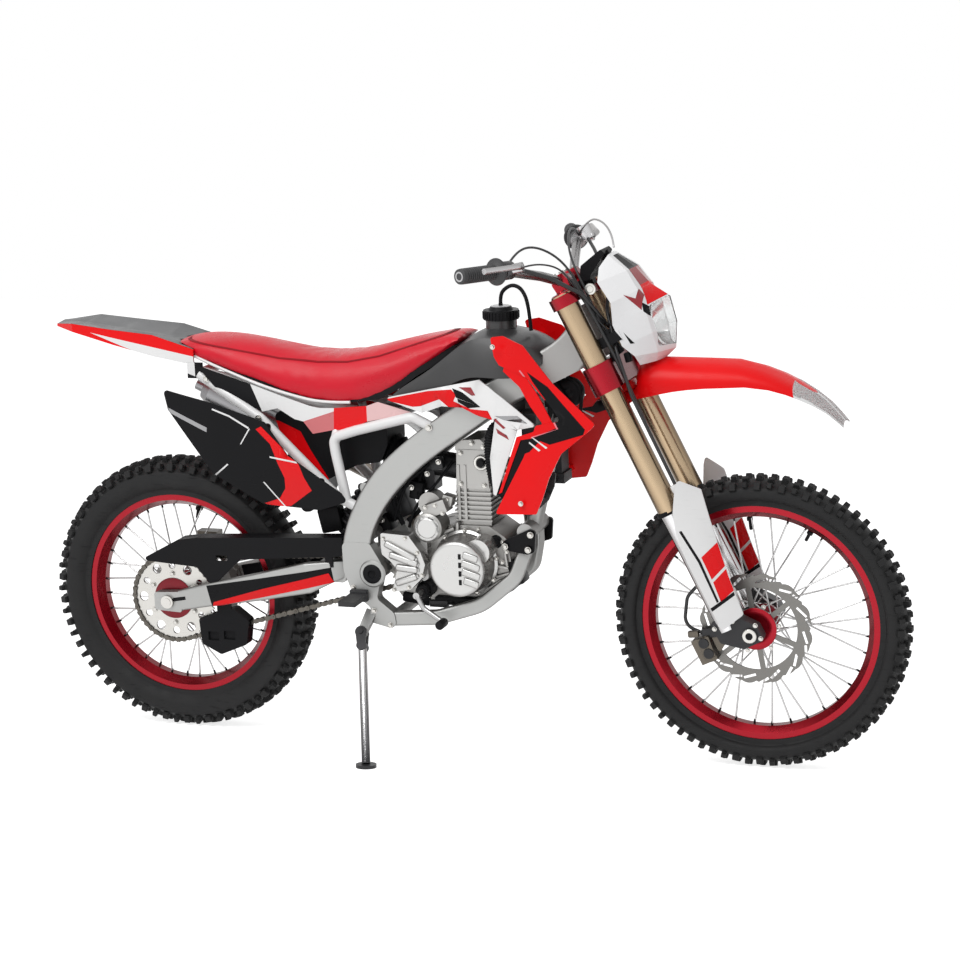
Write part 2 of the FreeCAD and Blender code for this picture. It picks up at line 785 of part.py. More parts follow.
def fender_sections():
    """Arched sections along the front mudguard: f, crown t, edge t, half width."""
    rows = [(4, -92, -108, 42), (56, -94, -118, 52), (92, -92, -124, 60), (140, -76, -134, 66),
            (210, -99, -158, 68), (293, -139, -194, 68), (338, -176, -222, 66),
            (394, -239, -276, 58), (430, -305, -326, 46), (447, -362, -370, 34)]
    wires = []
    for f, crown, edge, half in rows:
        wires.append(Part.Wire([
            Part.Arc(V(f, -half, edge), V(f, 0, crown), V(f, half, edge)).toShape(),
            Part.LineSegment(V(f, half, edge), V(f, half - 3, edge - 0.2)).toShape(),
            Part.Arc(V(f, half - 3, edge - 0.2), V(f, 0, crown - 3), V(f, -half + 3, edge - 0.2)).toShape(),
            Part.LineSegment(V(f, -half + 3, edge - 0.2), V(f, -half, edge)).toShape()]))
    return wires


def front_fender():
    """An arched mudguard hung by a boss under the lower clamp."""
    under = lower_clamp_t - lower_clamp_thickness / 2
    boss = box(4, 50, -20, 20, under - 22, under - fit)
    return fused([loft(fender_sections()), boss])


def front_caliper():
    """A caliper round the edge of the front disc, on its bracket."""
    axle_f = steer_offset
    body = box(-54, -14, -92, -46, -30, 30)
    gap = box(-60, 60, front_disc_y - disc_thickness / 2 - 1.5, front_disc_y + disc_thickness / 2 + 1.5,
              -60, 60)
    body = body.cut(gap.cut(box(-60, -44, -100, 0, -60, 60)))
    body.translate(V(axle_f - 90, 0, axle_t + 4))
    arm = side_plate([(axle_f - 96, axle_t + 26), (clamp_offset - 20, axle_t + 56),
                      (clamp_offset - 8, axle_t + 12), (axle_f - 96, axle_t - 16)], -86.7, -80, 5)
    return body.fuse(arm).removeSplitter().cut(fork_lowers())


def front_cables():
    """Brake hose up the near leg to the far lever, and the loom from the near lever to the lamp."""
    edge_y = -(leg_spread + 10)
    hose = tube([V(-40, -80, axle_t + 34), V(-78, -80, axle_t + 74), V(-44, -72, axle_t + 130),
                 V(18, -68, axle_t + 156), V(64, -84, axle_t + 200), V(64, edge_y, -430),
                 V(66, edge_y, -100), V(74, -96, 0), V(78, -40, 92), V(82, 60, 150), V(40, 190, 232),
                 V(14, 262, 264)], hose_radius, [0, 30, 30, 40, 40, 60, 60, 60, 60, 60, 60, 0])
    loom = tube([V(8, -250, 262), V(40, -180, 214), V(66, -110, 150), V(72, -70, 70), V(80, -30, 20),
                 V(84 - fit, -6, 12)], 5, 50)
    pieces = [hose, loom]
    for other in (front_caliper(), hand_levers(), fork_guards(), triple_clamps(), handlebar_tube()):
        pieces = [piece.cut(other) for piece in pieces]
    return Part.makeCompound([max(piece.Solids, key=lambda solid: solid.Volume) for piece in pieces])


# Chassis

def spar_section(x, y, z, height, thick, tilt_deg):
    """A rounded box section of the frame, square to the spar's run."""
    half_h = height / 2
    half_t = thick / 2
    points = [V(0, -half_t, -half_h), V(0, half_t, -half_h), V(0, half_t, half_h), V(0, -half_t, half_h)]
    wire = rounded_path(points, min(half_t, half_h) * 0.45, True)
    wire.rotate(V(0, 0, 0), V(0, 1, 0), tilt_deg)
    wire.translate(V(x, y, z))
    return wire


def frame_side():
    """One spar from the head down to the pivot plate and the cradle rail."""
    rows = [(318, -30, 985, 88, 34, -34), (235, -62, 925, 84, 32, -36), (130, -84, 868, 74, 34, -36),
            (25, -92, 798, 70, 32, -38), (-72, -98, 728, 70, 32, -42), (-150, -103, 650, 70, 32, -52),
            (-197, -108, 572, 68, 32, -70), (-216, -112, 500, 70, 32, -88)]
    spar = loft([spar_section(*row) for row in rows])
    plate = side_plate([(-250, 520), (-181, 520), (-152, 470), (-154, 440), (-168, 385), (-126, 352),
                        (-120, 311), (-188, 327), (-184, 362), (-230, 398), (-249, 450)],
                       -plate_outer_y, -plate_inner_y, 14)
    rail = [V(-150, -112, 334), V(-20, -112, 344), V(85, -100, 376), V(158, -66, 436), V(178, -40, 500),
            V(181, -30, 556)]
    path = rounded_path(rail, [0, 90, 90, 60, 60, 0])
    start = spar_section(-150, -112, 334, 34, 26, 0)
    cradle = path.makePipeShell([start], True, False)
    return [spar, plate, cradle]


def frame():
    """Twin spars, head tube, downtube, pivot plates and cradle, welded."""
    head = steer_place(Part.makeCylinder(head_tube_radius, head_length, V(0, 0, 0)))
    bore = steer_place(Part.makeCylinder(stem_radius + bearing_depth, head_length + 20, V(0, 0, -10)))
    down = tube([V(184, 0, 540), V(226, 0, 700), V(316, 0, 988)], 19, 400)
    pieces = [head, down]
    for piece in frame_side():
        pieces += both_sides(piece)
    pieces.append(across(184, 545, 20, -case_half_width, case_half_width))
    pieces.append(across(-188, 532, 13, -100, 100))
    pieces.append(across(-140, 334, 13, -112, 112))
    pieces.append(across(shock_top.x, shock_top.z, 12, -100, 100))
    whole = fused(pieces + [stand_bracket()])
    clamp_room = steer_place(Part.makeCylinder(150, 80, V(0, 0, -81)))
    whole = whole.cut(clamp_room).cut(bore)
    return whole.cut(across(pivot_x, pivot_z, pivot_bolt_radius, -200, 200))


def swingarm_pivot():
    bar = across(pivot_x, pivot_z, pivot_bolt_radius, -plate_outer_y, plate_outer_y)
    caps = [across(pivot_x, pivot_z, 19, -plate_outer_y - 5, -plate_outer_y),
            across(pivot_x, pivot_z, 19, plate_outer_y, plate_outer_y + 5)]
    return fused([bar] + caps)


def rail_upper(radius):
    """The seat rails."""
    return tube([V(-36, -84, 772), V(-84, -74, 806), V(-300, -76, 838), V(-612, -76, 912)], radius,
                [0, 40, 120, 0])


def rail_low(radius):
    """The rails that carry the side panels."""
    return tube([V(-196, -rail_y, 592), V(-262, -rail_y, 622), V(-449, -rail_y, 806), V(-612, -84, 905)],
                radius, 40)


def subframe():
    """White rails from the frame back to the tail."""
    front = tube([V(-18, -98, 794), V(-66, -rail_y, 820), V(-208, -rail_y, 784),
                  V(-266, -rail_y, 766), V(-262, -rail_y, 730), V(-240, -rail_y, 612)], 12,
                 [0, 20, 30, 22, 30, 0])
    link = cylinder(V(-262, -rail_y, 762), V(-262, -66, 820), 10)
    sides = both_sides(fused([rail_low(12), front, rail_upper(11), link]))
    cross = [across(-612, 908, 11, -84, 84), across(-450, 870, 10, -76, 76)]
    return fused(sides + cross).cut(frame_core())


def subframe_core():
    if "subframe" not in _cache:
        _cache["subframe"] = subframe()
    return _cache["subframe"]


def engine_case():
    """Crankcase with the starter behind the barrel."""
    outline = [(-148, 500), (-146, 400), (-122, 366), (20, 374), (108, 398), (150, 455), (138, 528),
               (96, 556), (0, 556), (-40, 544), (-92, 538)]
    block = side_plate(outline, -case_half_width, case_half_width, 16)
    cap = across(-40, 557, 35, -108, -50)
    nose = Part.makeCone(30, 35, 4, V(-40, -112, 557), V(0, 1, 0))
    motor = across(-46, 606, 28, -70, -32)
    return fused([block, cap, nose, motor]).cut(frame_core())


def raised_bar(x0, z0, x1, z1, width, y0, y1):
    """A straight rib on a cover's face."""
    run = V(x1 - x0, 0, z1 - z0).normalize() * (width / 2)
    corners = [(x0 - run.z, z0 + run.x), (x1 - run.z, z1 + run.x), (x1 + run.z, z1 - run.x),
               (x0 + run.z, z0 - run.x)]
    return side_plate(corners, y0, y1)


def engine_covers():
    """Generator, sprocket and clutch covers."""
    profile = [(-case_half_width, 0), (-case_half_width, 78), (-74, 78), (-78, 72), (-134, 67),
               (-143, 64, -146, 56), (-146, 0)]
    round_cover = revolve(profile, V(crank_x, 0, crank_z))
    crescent = across(crank_x + 46, crank_z + 38, 30, -124, -case_half_width)
    ribs = []
    for k in range(4):
        z = crank_z + 30 - 20 * k
        ribs.append(raised_bar(crank_x + 18, z + 9, crank_x + 50, z, 8, -149, -140))
    generator = fused([round_cover, crescent] + ribs)
    outline = [(-153, 544), (-84, 540), (-55, 501), (-45, 472), (-55, 438), (-83, 410), (-129, 402),
               (-124, 427), (-115, 457), (-133, 478), (-152, 492), (-154, 515)]
    cover = side_plate(outline, -122, -88, 5)
    wall = side_plate([(-66, 530), (-50, 520), (-50, 430), (-66, 420)], -89, -case_half_width, 4)
    fan = [raised_bar(x0, z0, x1, z1, 8, -126, -121) for x0, z0, x1, z1 in
           ((-146, 523, -64, 483), (-134, 494, -60, 471), (-116, 462, -60, 458), (-120, 424, -62, 445))]
    sprocket_cover = fused([cover, wall] + fan)
    sprocket_cover = sprocket_cover.cut(across(crank_x, crank_z, 78 + fit, -150, 0)).cut(frame_core())
    clutch = across(-30, 462, 84, case_half_width, 104)
    lid = Part.makeCone(76, 66, 16, V(-30, 104, 462), V(0, 1, 0))
    side = across(crank_x + 36, 446, 38, case_half_width, 84)
    clutch_cover = fused([clutch, lid, side])
    return Part.makeCompound([generator, sprocket_cover, clutch_cover])


def front_sprocket():
    """The output sprocket on its shaft."""
    front, rise = drive_centre()[:2]
    wheel = sprocket(front, front_teeth, chain_y, 12, rise)
    shaft = across(front.x, front.z, 12, chain_y - 8, -case_half_width)
    return fused([wheel, shaft])


def cylinder_head():
    """Finned barrel, head and cam cover leaning forward a little."""
    half = cylinder_half_width
    pieces = [box(16, 100, -half + 6, half - 6, 556, 650)]
    for i in range(7):
        z = 566 + i * 11
        pieces.append(box(10 + i, 104, -half, half, z, z + 4))
    for x in (22, 38):
        pieces.append(box(x, x + 6, -half - 1.5, -half + 8, 568, 700))
    pieces.append(side_plate([(18, 644), (99, 644), (95, 700), (95, 736), (22, 736), (20, 690)],
                             -half + 1, half - 1, 3))
    pieces.append(side_plate([(17, 733), (99, 733), (97, 745), (80, 761), (36, 758), (19, 746)],
                             -half + 3, half - 3, 4))
    pieces.append(across(83, 707, 17, -half - 4, 0))
    pieces.append(across(83, 707, 9, -half - 8, 0))
    return fused(pieces)


def carburettor():
    body = cylinder(V(30, 0, 679), V(-120, 0, 700), 30)
    bowl = box(-92, -48, -26, 26, 628, 690)
    boot = cylinder(V(-120, 0, 700), V(-168, 0, 716), 36)
    return fused([body, bowl, boot]).cut(cylinder_head())


def airbox():
    """Black box behind the engine with its mud flap."""
    outline = [(-150, 790), (-300, 796), (-410, 822), (-436, 806), (-400, 690), (-378, 570),
               (-352, 572), (-310, 650), (-230, 690), (-168, 700), (-150, 740)]
    block = side_plate(outline, -58, 58, 14)
    room = cylinder(shock_low, shock_top, spring_radius + 8)
    return block.cut(room).cut(carburettor()).cut(frame_core())


def shock():
    """Damper with its spring and end eyes."""
    line = (shock_top - shock_low).normalize()
    body = cylinder(shock_low, shock_top, 13)
    spring = cylinder(shock_low + line * 34, shock_top - line * 40, spring_radius)
    eyes = [across(shock_low.x, shock_low.z, 16, -16, 16), across(shock_top.x, shock_top.z, 17, -16, 16)]
    whole = fused([body, spring] + eyes)
    bores = [across(shock_top.x, shock_top.z, 12 + fit, -30, 30),
             across(shock_low.x, shock_low.z, 6 + running, -30, 30)]
    return whole.cut(bores[0]).cut(bores[1])


def silencer_line():
    return (silencer_end - silencer_start).normalize()


def exhaust_header():
    """From the head round the front of the engine to the far side."""
    joint = silencer_start - silencer_line() * 70
    points = [V(90, 24, 684), V(140, 32, 684), V(152, 60, 640), V(150, 98, 520), V(128, 112, 436),
              V(46, 150, 404), V(-90, 152, 450), V(-220, 154, 540), joint, silencer_start]
    pipe = tube(points, 19, [0, 34, 50, 80, 60, 90, 90, 60, 40, 0])
    return pipe.cut(cylinder_head())


def silencer():
    """A round can with a cone at each end."""
    start = silencer_start
    end = silencer_end
    line = silencer_line()
    can = cylinder(start + line * 40, end - line * 20, silencer_radius)
    cone = Part.makeCone(20, silencer_radius, 40, start, line)
    cap = Part.makeCone(silencer_radius, silencer_radius - 8, 20, end - line * 20, line)
    outlet = cylinder(end - line * 5, end + line * 24, 15)
    return fused([can, cone, cap, outlet])


def radiators():
    """A core between two tanks on each side, hung from the spar and footed on the downtube."""
    core = box(206, 236, -126, -70, 657, 822)
    tanks = [box(200, 242, -129, -68, 634, 658), box(200, 242, -129, -68, 816, 840)]
    lugs = [box(212, 226, -76, -60, 836, 880), box(206, 226, -70, -15, 640, 652)]
    side = fused([core] + tanks + lugs)
    plate = side_plate([(245, 698), (267, 691), (262, 659), (247, 626), (208, 591), (189, 583), (205, 609),
                        (236, 636), (234, 679)], -74, -68, 4)
    bolts = [across(x, z, 6, -78, -73) for x, z in ((251, 676), (247, 641))]
    near = fused([side, plate] + bolts)
    return Part.makeCompound([near.cut(frame_core()), mirrored(side).cut(frame_core())])


def coolant_hoses():
    """A corrugated hose between the near radiator's two tanks."""
    return tube([V(200 - fit, -104, 828), V(126, -104, 802), V(120, -104, 735), V(130, -104, 668),
                 V(158, -104, 640), V(200 - fit, -104, 646)], 14, 40).cut(radiators())


def engine_mounts():
    """Plates from the downtube's foot to the crankcase."""
    outline = [(126, 512), (133, 524), (196, 554), (212, 550), (208, 500), (190, 494), (138, 502)]
    plate = side_plate(outline, -70, -case_half_width - fit, 8)
    bolts = [across(x, z, 8, -76, -69) for x, z in ((138, 513), (201, 543), (194, 507))]
    return Part.makeCompound(both_sides(fused([plate] + bolts)))


def section_ring(x, points, bulge):
    """A closed section across the machine: flat sides and an arched top."""
    half_low, z_low, half_high, z_high, z_top = points
    top = Part.Arc(V(x, -half_high, z_high), V(x, 0, z_top), V(x, half_high, z_high)).toShape()
    side_l = Part.Arc(V(x, half_high, z_high), V(x, (half_high + half_low) / 2 + bulge,
                      (z_high + z_low) / 2), V(x, half_low, z_low)).toShape()
    side_r = Part.Arc(V(x, -half_low, z_low), V(x, -(half_high + half_low) / 2 - bulge,
                      (z_high + z_low) / 2), V(x, -half_high, z_high)).toShape()
    bottom = Part.LineSegment(V(x, half_low, z_low), V(x, -half_low, z_low)).toShape()
    return Part.Wire([top, side_l, bottom, side_r])


def seat():
    """A long saddle, low in the middle, thin at both ends, resting on the upper rails."""
    rows = [(-690, (70, 966, 60, 968, 974)), (-600, (88, 940, 75, 974, 988)),
            (-450, (96, 886, 78, 950, 971)), (-290, (100, 846, 80, 938, 949)),
            (-150, (98, 866, 76, 958, 968)), (-60, (92, 926, 66, 984, 990)),
            (44, (80, 994, 56, 1001, 1006))]
    body = loft([section_ring(x, points, 5) for x, points in rows])
    for rail in both_sides(rail_upper(11 + fit)):
        body = body.cut(rail)
    return body


def tank_body():
    upper_rows = [(-134, (88, 842, 90, 852, 858)), (-60, (92, 850, 88, 906, 914)),
                  (20, (100, 892, 84, 962, 970)), (84, (112, 916, 86, 1000, 1012)),
                  (150, (116, 916, 88, 1000, 1016)), (200, (106, 920, 80, 988, 1004)),
                  (244, (84, 944, 66, 964, 980))]
    return loft([section_ring(x, points, 3) for x, points in upper_rows])


def fuel_tank():
    """A saddle tank over the spars with its belly between them."""
    belly = box(-20, 190, -46, 46, 806, 930)
    filler = Part.makeCylinder(36, 30, V(124, 0, 1004))
    return fused([tank_body(), belly, filler]).cut(frame_core()).cut(seat_space())


_cache = {}


def frame_core():
    if "frame" not in _cache:
        _cache["frame"] = frame()
    return _cache["frame"]


def seat_space():
    if "seat" not in _cache:
        _cache["seat"] = seat()
    return _cache["seat"]


def tank_cap():
    cap = Part.makeCylinder(41, 22, V(124, 0, 1034 + fit))
    knob = Part.makeCone(30, 24, 8, V(124, 0, 1056))
    stub = Part.makeCylinder(5, 10, V(124, 0, 1060))
    return fused([cap, knob, stub])


def vent_hose():
    return tube([V(124, 0, 1070 + fit), V(124, 0, 1096), V(150, -8, 1120), V(188, -18, 1108),
                 V(202, -24, 1064), V(204, -26, 1012)], 4, 24)


def rear_fender():
    """The tail, an inverted trough rising to its tip, with tabs on the rails' ends."""
    rows = [(-1010, 40, 1018, 1014, 1008), (-950, 76, 1012, 1020, 1000), (-840, 84, 998, 1008, 972),
            (-730, 88, 984, 998, 946), (-622, 92, 962, 966, 928)]
    wires = []
    for x, half, top, edge, low in rows:
        outer = [V(x, -half, low), V(x, -half, edge), V(x, 0, top), V(x, half, edge), V(x, half, low)]
        inner = [V(x, half - 4, low), V(x, half - 4, edge - 5), V(x, 0, top - 5),
                 V(x, -half + 4, edge - 5), V(x, -half + 4, low)]
        wires.append(Part.makePolygon(outer + inner + [outer[0]]))
    tabs = both_sides(box(-640, -600, -92, -88, 896, 934))
    return fused([loft(wires, True)] + tabs).cut(seat_space()).cut(subframe_core())


def band(curve_low, curve_high, z_low, z_high, thickness):
    """A sheet between two plan view curves at two heights."""
    wires = []
    for curve, z in ((curve_low, z_low), (curve_high, z_high)):
        outer = [V(x, y, z) for x, y in curve]
        inner = [V(x, y + thickness, z) for x, y in curve]
        wires.append(Part.Wire([Part.Arc(*outer).toShape(),
                                Part.LineSegment(outer[2], inner[2]).toShape(),
                                Part.Arc(inner[2], inner[1], inner[0]).toShape(),
                                Part.LineSegment(inner[0], outer[0]).toShape()]))
    return loft(wires, True)


def panel(curve_low, curve_high, z_low, z_high, outline, radius, bosses):
    """A curved sheet cut to its outline, with bosses (x, z, radius, end) to what carries it."""
    sheet = band(curve_low, curve_high, z_low, z_high, plastic)
    depth = band(curve_low, curve_high, z_low, z_high, 120)
    pieces = [sheet.common(side_plate(outline, -260, -60, radius))]
    for x, z, r, end in bosses:
        pieces.append(across(x, z, r, -260, end).common(depth))
    return fused(pieces)


def side_panels():
    """Number panels beside the tail, bulged outwards, bolted to the low rails."""
    outline = [(-689, 875), (-555, 848), (-446, 816), (-419, 807), (-365, 730), (-238, 641),
               (-224, 620), (-291, 600), (-327, 604), (-429, 612), (-559, 680), (-677, 827)]
    low = [(-710, -142), (-460, -162), (-200, -140)]
    high = [(-710, -126), (-460, -150), (-200, -136)]
    near = panel(low, high, 580, 900, outline, 8,
                 [(-430, 787, 10, -rail_y - 3), (-300, 659, 10, -rail_y - 3)])
    short = [(-680, 876), (-555, 848), (-446, 816), (-408, 784), (-400, 740), (-680, 869)]
    far = panel(low, high, 580, 900, short, 4, [(-430, 787, 9, -rail_y - 3), (-478, 812, 7, -100)])
    return Part.makeCompound([near.cut(subframe_core()), mirrored(far).cut(subframe_core())])


def shrouds():
    """Red covers outside the radiators: an arm from the tank and a leg down the front."""
    outline = [(139, 1012), (172, 1017), (223, 998), (297, 918), (400, 831), (386, 817), (319, 763),
               (289, 705), (273, 658), (258, 623), (153, 614), (156, 623), (225, 748), (256, 822),
               (317, 835), (295, 864), (232, 928), (162, 951), (149, 969)]
    side = panel([(130, -166), (250, -198), (410, -216)], [(130, -122), (250, -150), (410, -170)],
                 600, 1030, outline, 6, [(221, 646, 10, -129 - fit), (178, 974, 9, -84)])
    side = side.cut(tank_body())
    return Part.makeCompound(both_sides(max(side.Solids, key=lambda solid: solid.Volume)))


def side_covers():
    """White covers below the tank between the seat and the shrouds, on bosses of the spar."""
    outline = [(-134, 863), (110, 915), (252, 817), (204, 806), (142, 637), (126, 823), (66, 849),
               (13, 850), (-37, 832)]
    side = panel([(-140, -118), (60, -136), (250, -176)], [(-140, -108), (60, -122), (250, -146)],
                 620, 960, outline, 4, [(130, 866, 8, -96), (60, 862, 8, -100)])
    return Part.makeCompound(both_sides(side.cut(frame_core())))


def swing_section(share, y, rise, height, thick, tilt):
    """An arm section part of the way from the pivot to the axle, above or below their line."""
    x = pivot_x + (rear_axle.x - pivot_x) * share
    z = pivot_z + (rear_axle.z - pivot_z) * share + rise
    return spar_section(x, y, z, height, thick, -tilt)


def swingarm():
    """Two tapered box arms joined ahead of the wheel."""
    rear = rear_axle
    rows = [(0, -83, 0, 42, 22, 4), (0.158, -83, 13, 42, 22, 6), (0.212, -97, 13, 52, 24, 9),
            (0.318, -104, 8, 74, 26, 11), (0.554, -104, 3, 66, 28, 11), (0.808, -101, 1, 56, 26, 9),
            (0.946, -99, -3, 50, 24, 4)]
    arm = loft([swing_section(*row) for row in rows], True)
    boss = across(pivot_x, pivot_z, 22, -94, -56)
    tip = side_plate([(rear.x - 36, rear.z + 22), (rear.x + 36, rear.z + 26), (rear.x + 36, rear.z - 26),
                      (rear.x - 36, rear.z - 22)], -111, -87, 6)
    pieces = []
    for piece in (arm, boss, tip):
        pieces += both_sides(piece)
    pieces.append(side_plate([(-338, 412), (-332, 458), (-262, 460), (-252, 440), (-262, 410)],
                             -94, 94, 8))
    for y in (-27, 17):
        pieces.append(box(shock_low.x - 12, shock_low.x + 12, y, y + 10, 450, shock_low.z + 12))
    pieces.append(across(shock_low.x, shock_low.z, 6, -27, 27))
    whole = fused(pieces)
    bores = [across(pivot_x, pivot_z, pivot_bolt_radius, -200, 200),
             across(rear.x, rear.z, axle_radius, -200, 200)]
    for bore in bores:
        whole = whole.cut(bore)
    return whole


def swingarm_core():
    if "swingarm" not in _cache:
        _cache["swingarm"] = swingarm()
    return _cache["swingarm"]


def rear_axle_bar():
    bar = across(rear_axle.x, rear_axle.z, axle_radius, -119, 119)
    nut = across(rear_axle.x, rear_axle.z, 16, -118, -111)
    head = across(rear_axle.x, rear_axle.z, 16, 111, 118)
    return fused([bar, nut, head])


def chain_guards():
    """A black cover along the upper run and a guide block round the lower one."""
    top = [(-795, 445), (-690, 500), (-641, 507), (-258, 524), (-260, 478), (-525, 458), (-595, 394),
           (-612, 396), (-644, 434)]
    guard = side_plate(top, -108, -104, 6)
    tab = box(-304, -284, -108, -104, 450, 482)
    roof = side_plate([(-690, 500), (-641, 507), (-258, 524), (-258, 520), (-641, 503), (-690, 496)],
                      -108, -64)
    cover = fused([guard, roof, tab]).cut(box(-590, -560, -110, -100, 452, 466)).cut(swingarm_core())
    guide = side_plate([(-655, 300), (-560, 330), (-521, 300), (-530, 240), (-600, 211), (-650, 236)],
                       -92, -60, 10)
    holder = box(-604, -566, -92, -88, 300, 352)
    slot = chain_band(plate_half_height + 2, -84, -64).cut(chain_band(-plate_half_height - 2, -85, -63))
    room = across(rear_axle.x, rear_axle.z, sprocket_radius(rear_teeth) + 9, -82, -66)
    windows = [box(-632, -604, -100, -86, 246, 268), box(-590, -560, -100, -86, 250, 272)]
    guide = fused([guide, holder]).cut(slot).cut(room).cut(swingarm_core())
    for window in windows:
        guide = guide.cut(window)
    return Part.makeCompound([cover, guide])


def rear_caliper():
    """A small caliper round the rear disc, on a carrier that sits on the axle."""
    body = box(-52, 4, 52, 86, 100, 148)
    gap = box(-60, 20, rear_disc_y - disc_thickness / 2 - 1.5, rear_disc_y + disc_thickness / 2 + 1.5,
              80, 136)
    body = body.cut(gap)
    body.translate(V(rear_axle.x + 60, 0, rear_axle.z - 10))
    x, z = rear_axle.x, rear_axle.z
    carrier = side_plate([(x - 19, z - 16), (x + 19, z - 16), (x + 62, z + 96), (x + 10, z + 96)], 78, 86, 8)
    bore = across(x, z, axle_radius + running, 70, 90)
    return fused([body, carrier]).cut(bore)


def foot_controls():
    """Foot pegs, shift lever and brake pedal."""
    pegs = []
    for s in (-1, 1):
        arm = across(-205, 392, 8, min(s * 128.3, s * 150), max(s * 128.3, s * 150))
        tread = box(-226, -184, min(s * 148, s * 226), max(s * 148, s * 226), 390, 402)
        pegs.append(fused([arm, tread]))
    shaft = across(-60, 403, 8, -150, -case_half_width)
    lever = tube([V(-60, -145, 403), V(-44, -148, 374), V(8, -156, 345)], 6, 30)
    toe = across(8, 345, 8, -186, -150)
    shift = fused([shaft, lever, toe])
    pivot = across(-142, 345, 8, plate_outer_y + fit, 150)
    pedal = tube([V(-142, 146, 345), V(-60, 150, 330), V(20, 160, 336)], 7, 60)
    pad = box(4, 36, 146, 182, 336, 346)
    brake = fused([pivot, pedal, pad])
    return Part.makeCompound(pegs + [shift, brake])


# Side stand

def stand_geometry():
    """Pivot, foot centre, leg direction and hinge axis, all upright."""
    foot = V(stand_foot_x, stand_foot_y * math.cos(lean), -stand_foot_y * math.sin(lean))
    down = (foot - stand_pivot).normalize()
    back = folded_direction * (1 / folded_direction.Length)
    axis = down.cross(back).normalize()
    return foot, down, back, axis


def stand_bracket():
    """A flat lug on the frame between the stand's ears, square to the hinge."""
    axis = stand_geometry()[3]
    root = V(-188, -112, 336) - stand_pivot
    run = root - axis * root.dot(axis)
    length = run.Length + 10
    run.normalize()
    wide = axis.cross(run)
    lug = Part.makeCylinder(13, 12, stand_pivot - axis * 6, axis)
    corners = [stand_pivot - axis * 6 + wide * w + run * r
               for w, r in ((-11, 0), (11, 0), (14, length), (-14, length))]
    arm = Part.Face(Part.makePolygon(corners + [corners[0]])).extrude(axis * 12)
    bore = Part.makeCylinder(stand_bolt_radius + running, 60, stand_pivot - axis * 30, axis)
    return fused([lug, arm]).cut(bore)


def side_stand():
    """A leg with two ears at its pivot and a small foot on the ground."""
    foot, down, back, axis = stand_geometry()
    pivot = stand_pivot
    wide = axis.cross(down)
    pieces = []
    for side in (6.5, -13.5):
        base = pivot + axis * side
        pieces.append(Part.makeCylinder(14, 7, base, axis))
        corners = [base + wide * w + down * d for w, d in ((-13, 2), (13, 2), (10, 34), (-10, 34))]
        pieces.append(Part.Face(Part.makePolygon(corners + [corners[0]])).extrude(axis * 7))
    knee = pivot + down * 34
    pieces.append(cylinder(knee - axis * 13.5, knee + axis * 13.5, 12))
    pieces.append(cylinder(knee, foot - down * 8, stand_leg_radius))
    up = V(0, math.sin(lean), math.cos(lean))
    pieces.append(Part.makeCylinder(24, 8, foot, up))
    pieces.append(Part.makeCylinder(stand_bolt_radius, 34, pivot - axis * 17, axis))
    below = Part.makeCylinder(60, 40, foot - up * 40, up)
    return fused(pieces).cut(below)


# Placement and output

def placed(shape, drop):
    """Lean the machine onto its stand, then set its box on the origin."""
    moved = shape.copy()
    moved.rotate(V(0, 0, 0), V(1, 0, 0), lean_deg)
    moved.translate(drop)
    return moved


def steering_parts():
    pieces = {
        "triple_clamps": triple_clamps(),
        "fork_tubes": fork_tubes(),
        "fork_lowers": fork_lowers(),
        "fork_guards": fork_guards(),
        "front_axle": front_axle_bar(),
        "handlebar": handlebar(),
        "grips": grips(),
        "hand_levers": hand_levers(),
        "headlight_mask": headlight_mask(),
        "headlamp_lens": headlamp_lens(),
        "headlamp_bowl": headlamp_bowl(),
        "instrument": instrument(),
        "front_fender": front_fender(),
        "front_caliper": front_caliper(),
        "front_cables": front_cables(),
    }
    return {name: steer_place(shape) for name, shape in pieces.items()}


def wheel_parts():
    front = front_axle
    back = rear_axle
    rise = drive_centre()[1]
    front_rim = rim(front, front_bead, front_rim_width)
    front_hub = hub(front, 20, 34, 28, -62, 62, 30, 24)
    rear_rim = rim(back, rear_bead, rear_rim_width)
    rear_hub = hub(back, 26, 44, 34, -71.5, 68, 40, 34)
    return {
        "front_tyre": tyre(front, front_radius, front_width, front_crown, front_bead, front_rim_width,
                           front_marks, 30),
        "front_rim": front_rim,
        "front_hub": front_hub,
        "front_spokes": spokes(front, front_bead, 34, 28, (front_hub, front_rim)),
        "front_disc": wave_disc(front, front_disc_radius, front_disc_y, 96, 12, 39),
        "rear_tyre": tyre(back, rear_radius, rear_width, rear_crown, rear_bead, rear_rim_width,
                          rear_marks, 28),
        "rear_rim": rear_rim,
        "rear_hub": rear_hub,
        "rear_spokes": spokes(back, rear_bead, 44, 34, (rear_hub, rear_rim)),
        "rear_disc": wave_disc(back, rear_disc_radius, rear_disc_y, 88, 10, 42),
        "rear_sprocket": sprocket(back, rear_teeth, chain_y, 30, rise + math.pi),
    }


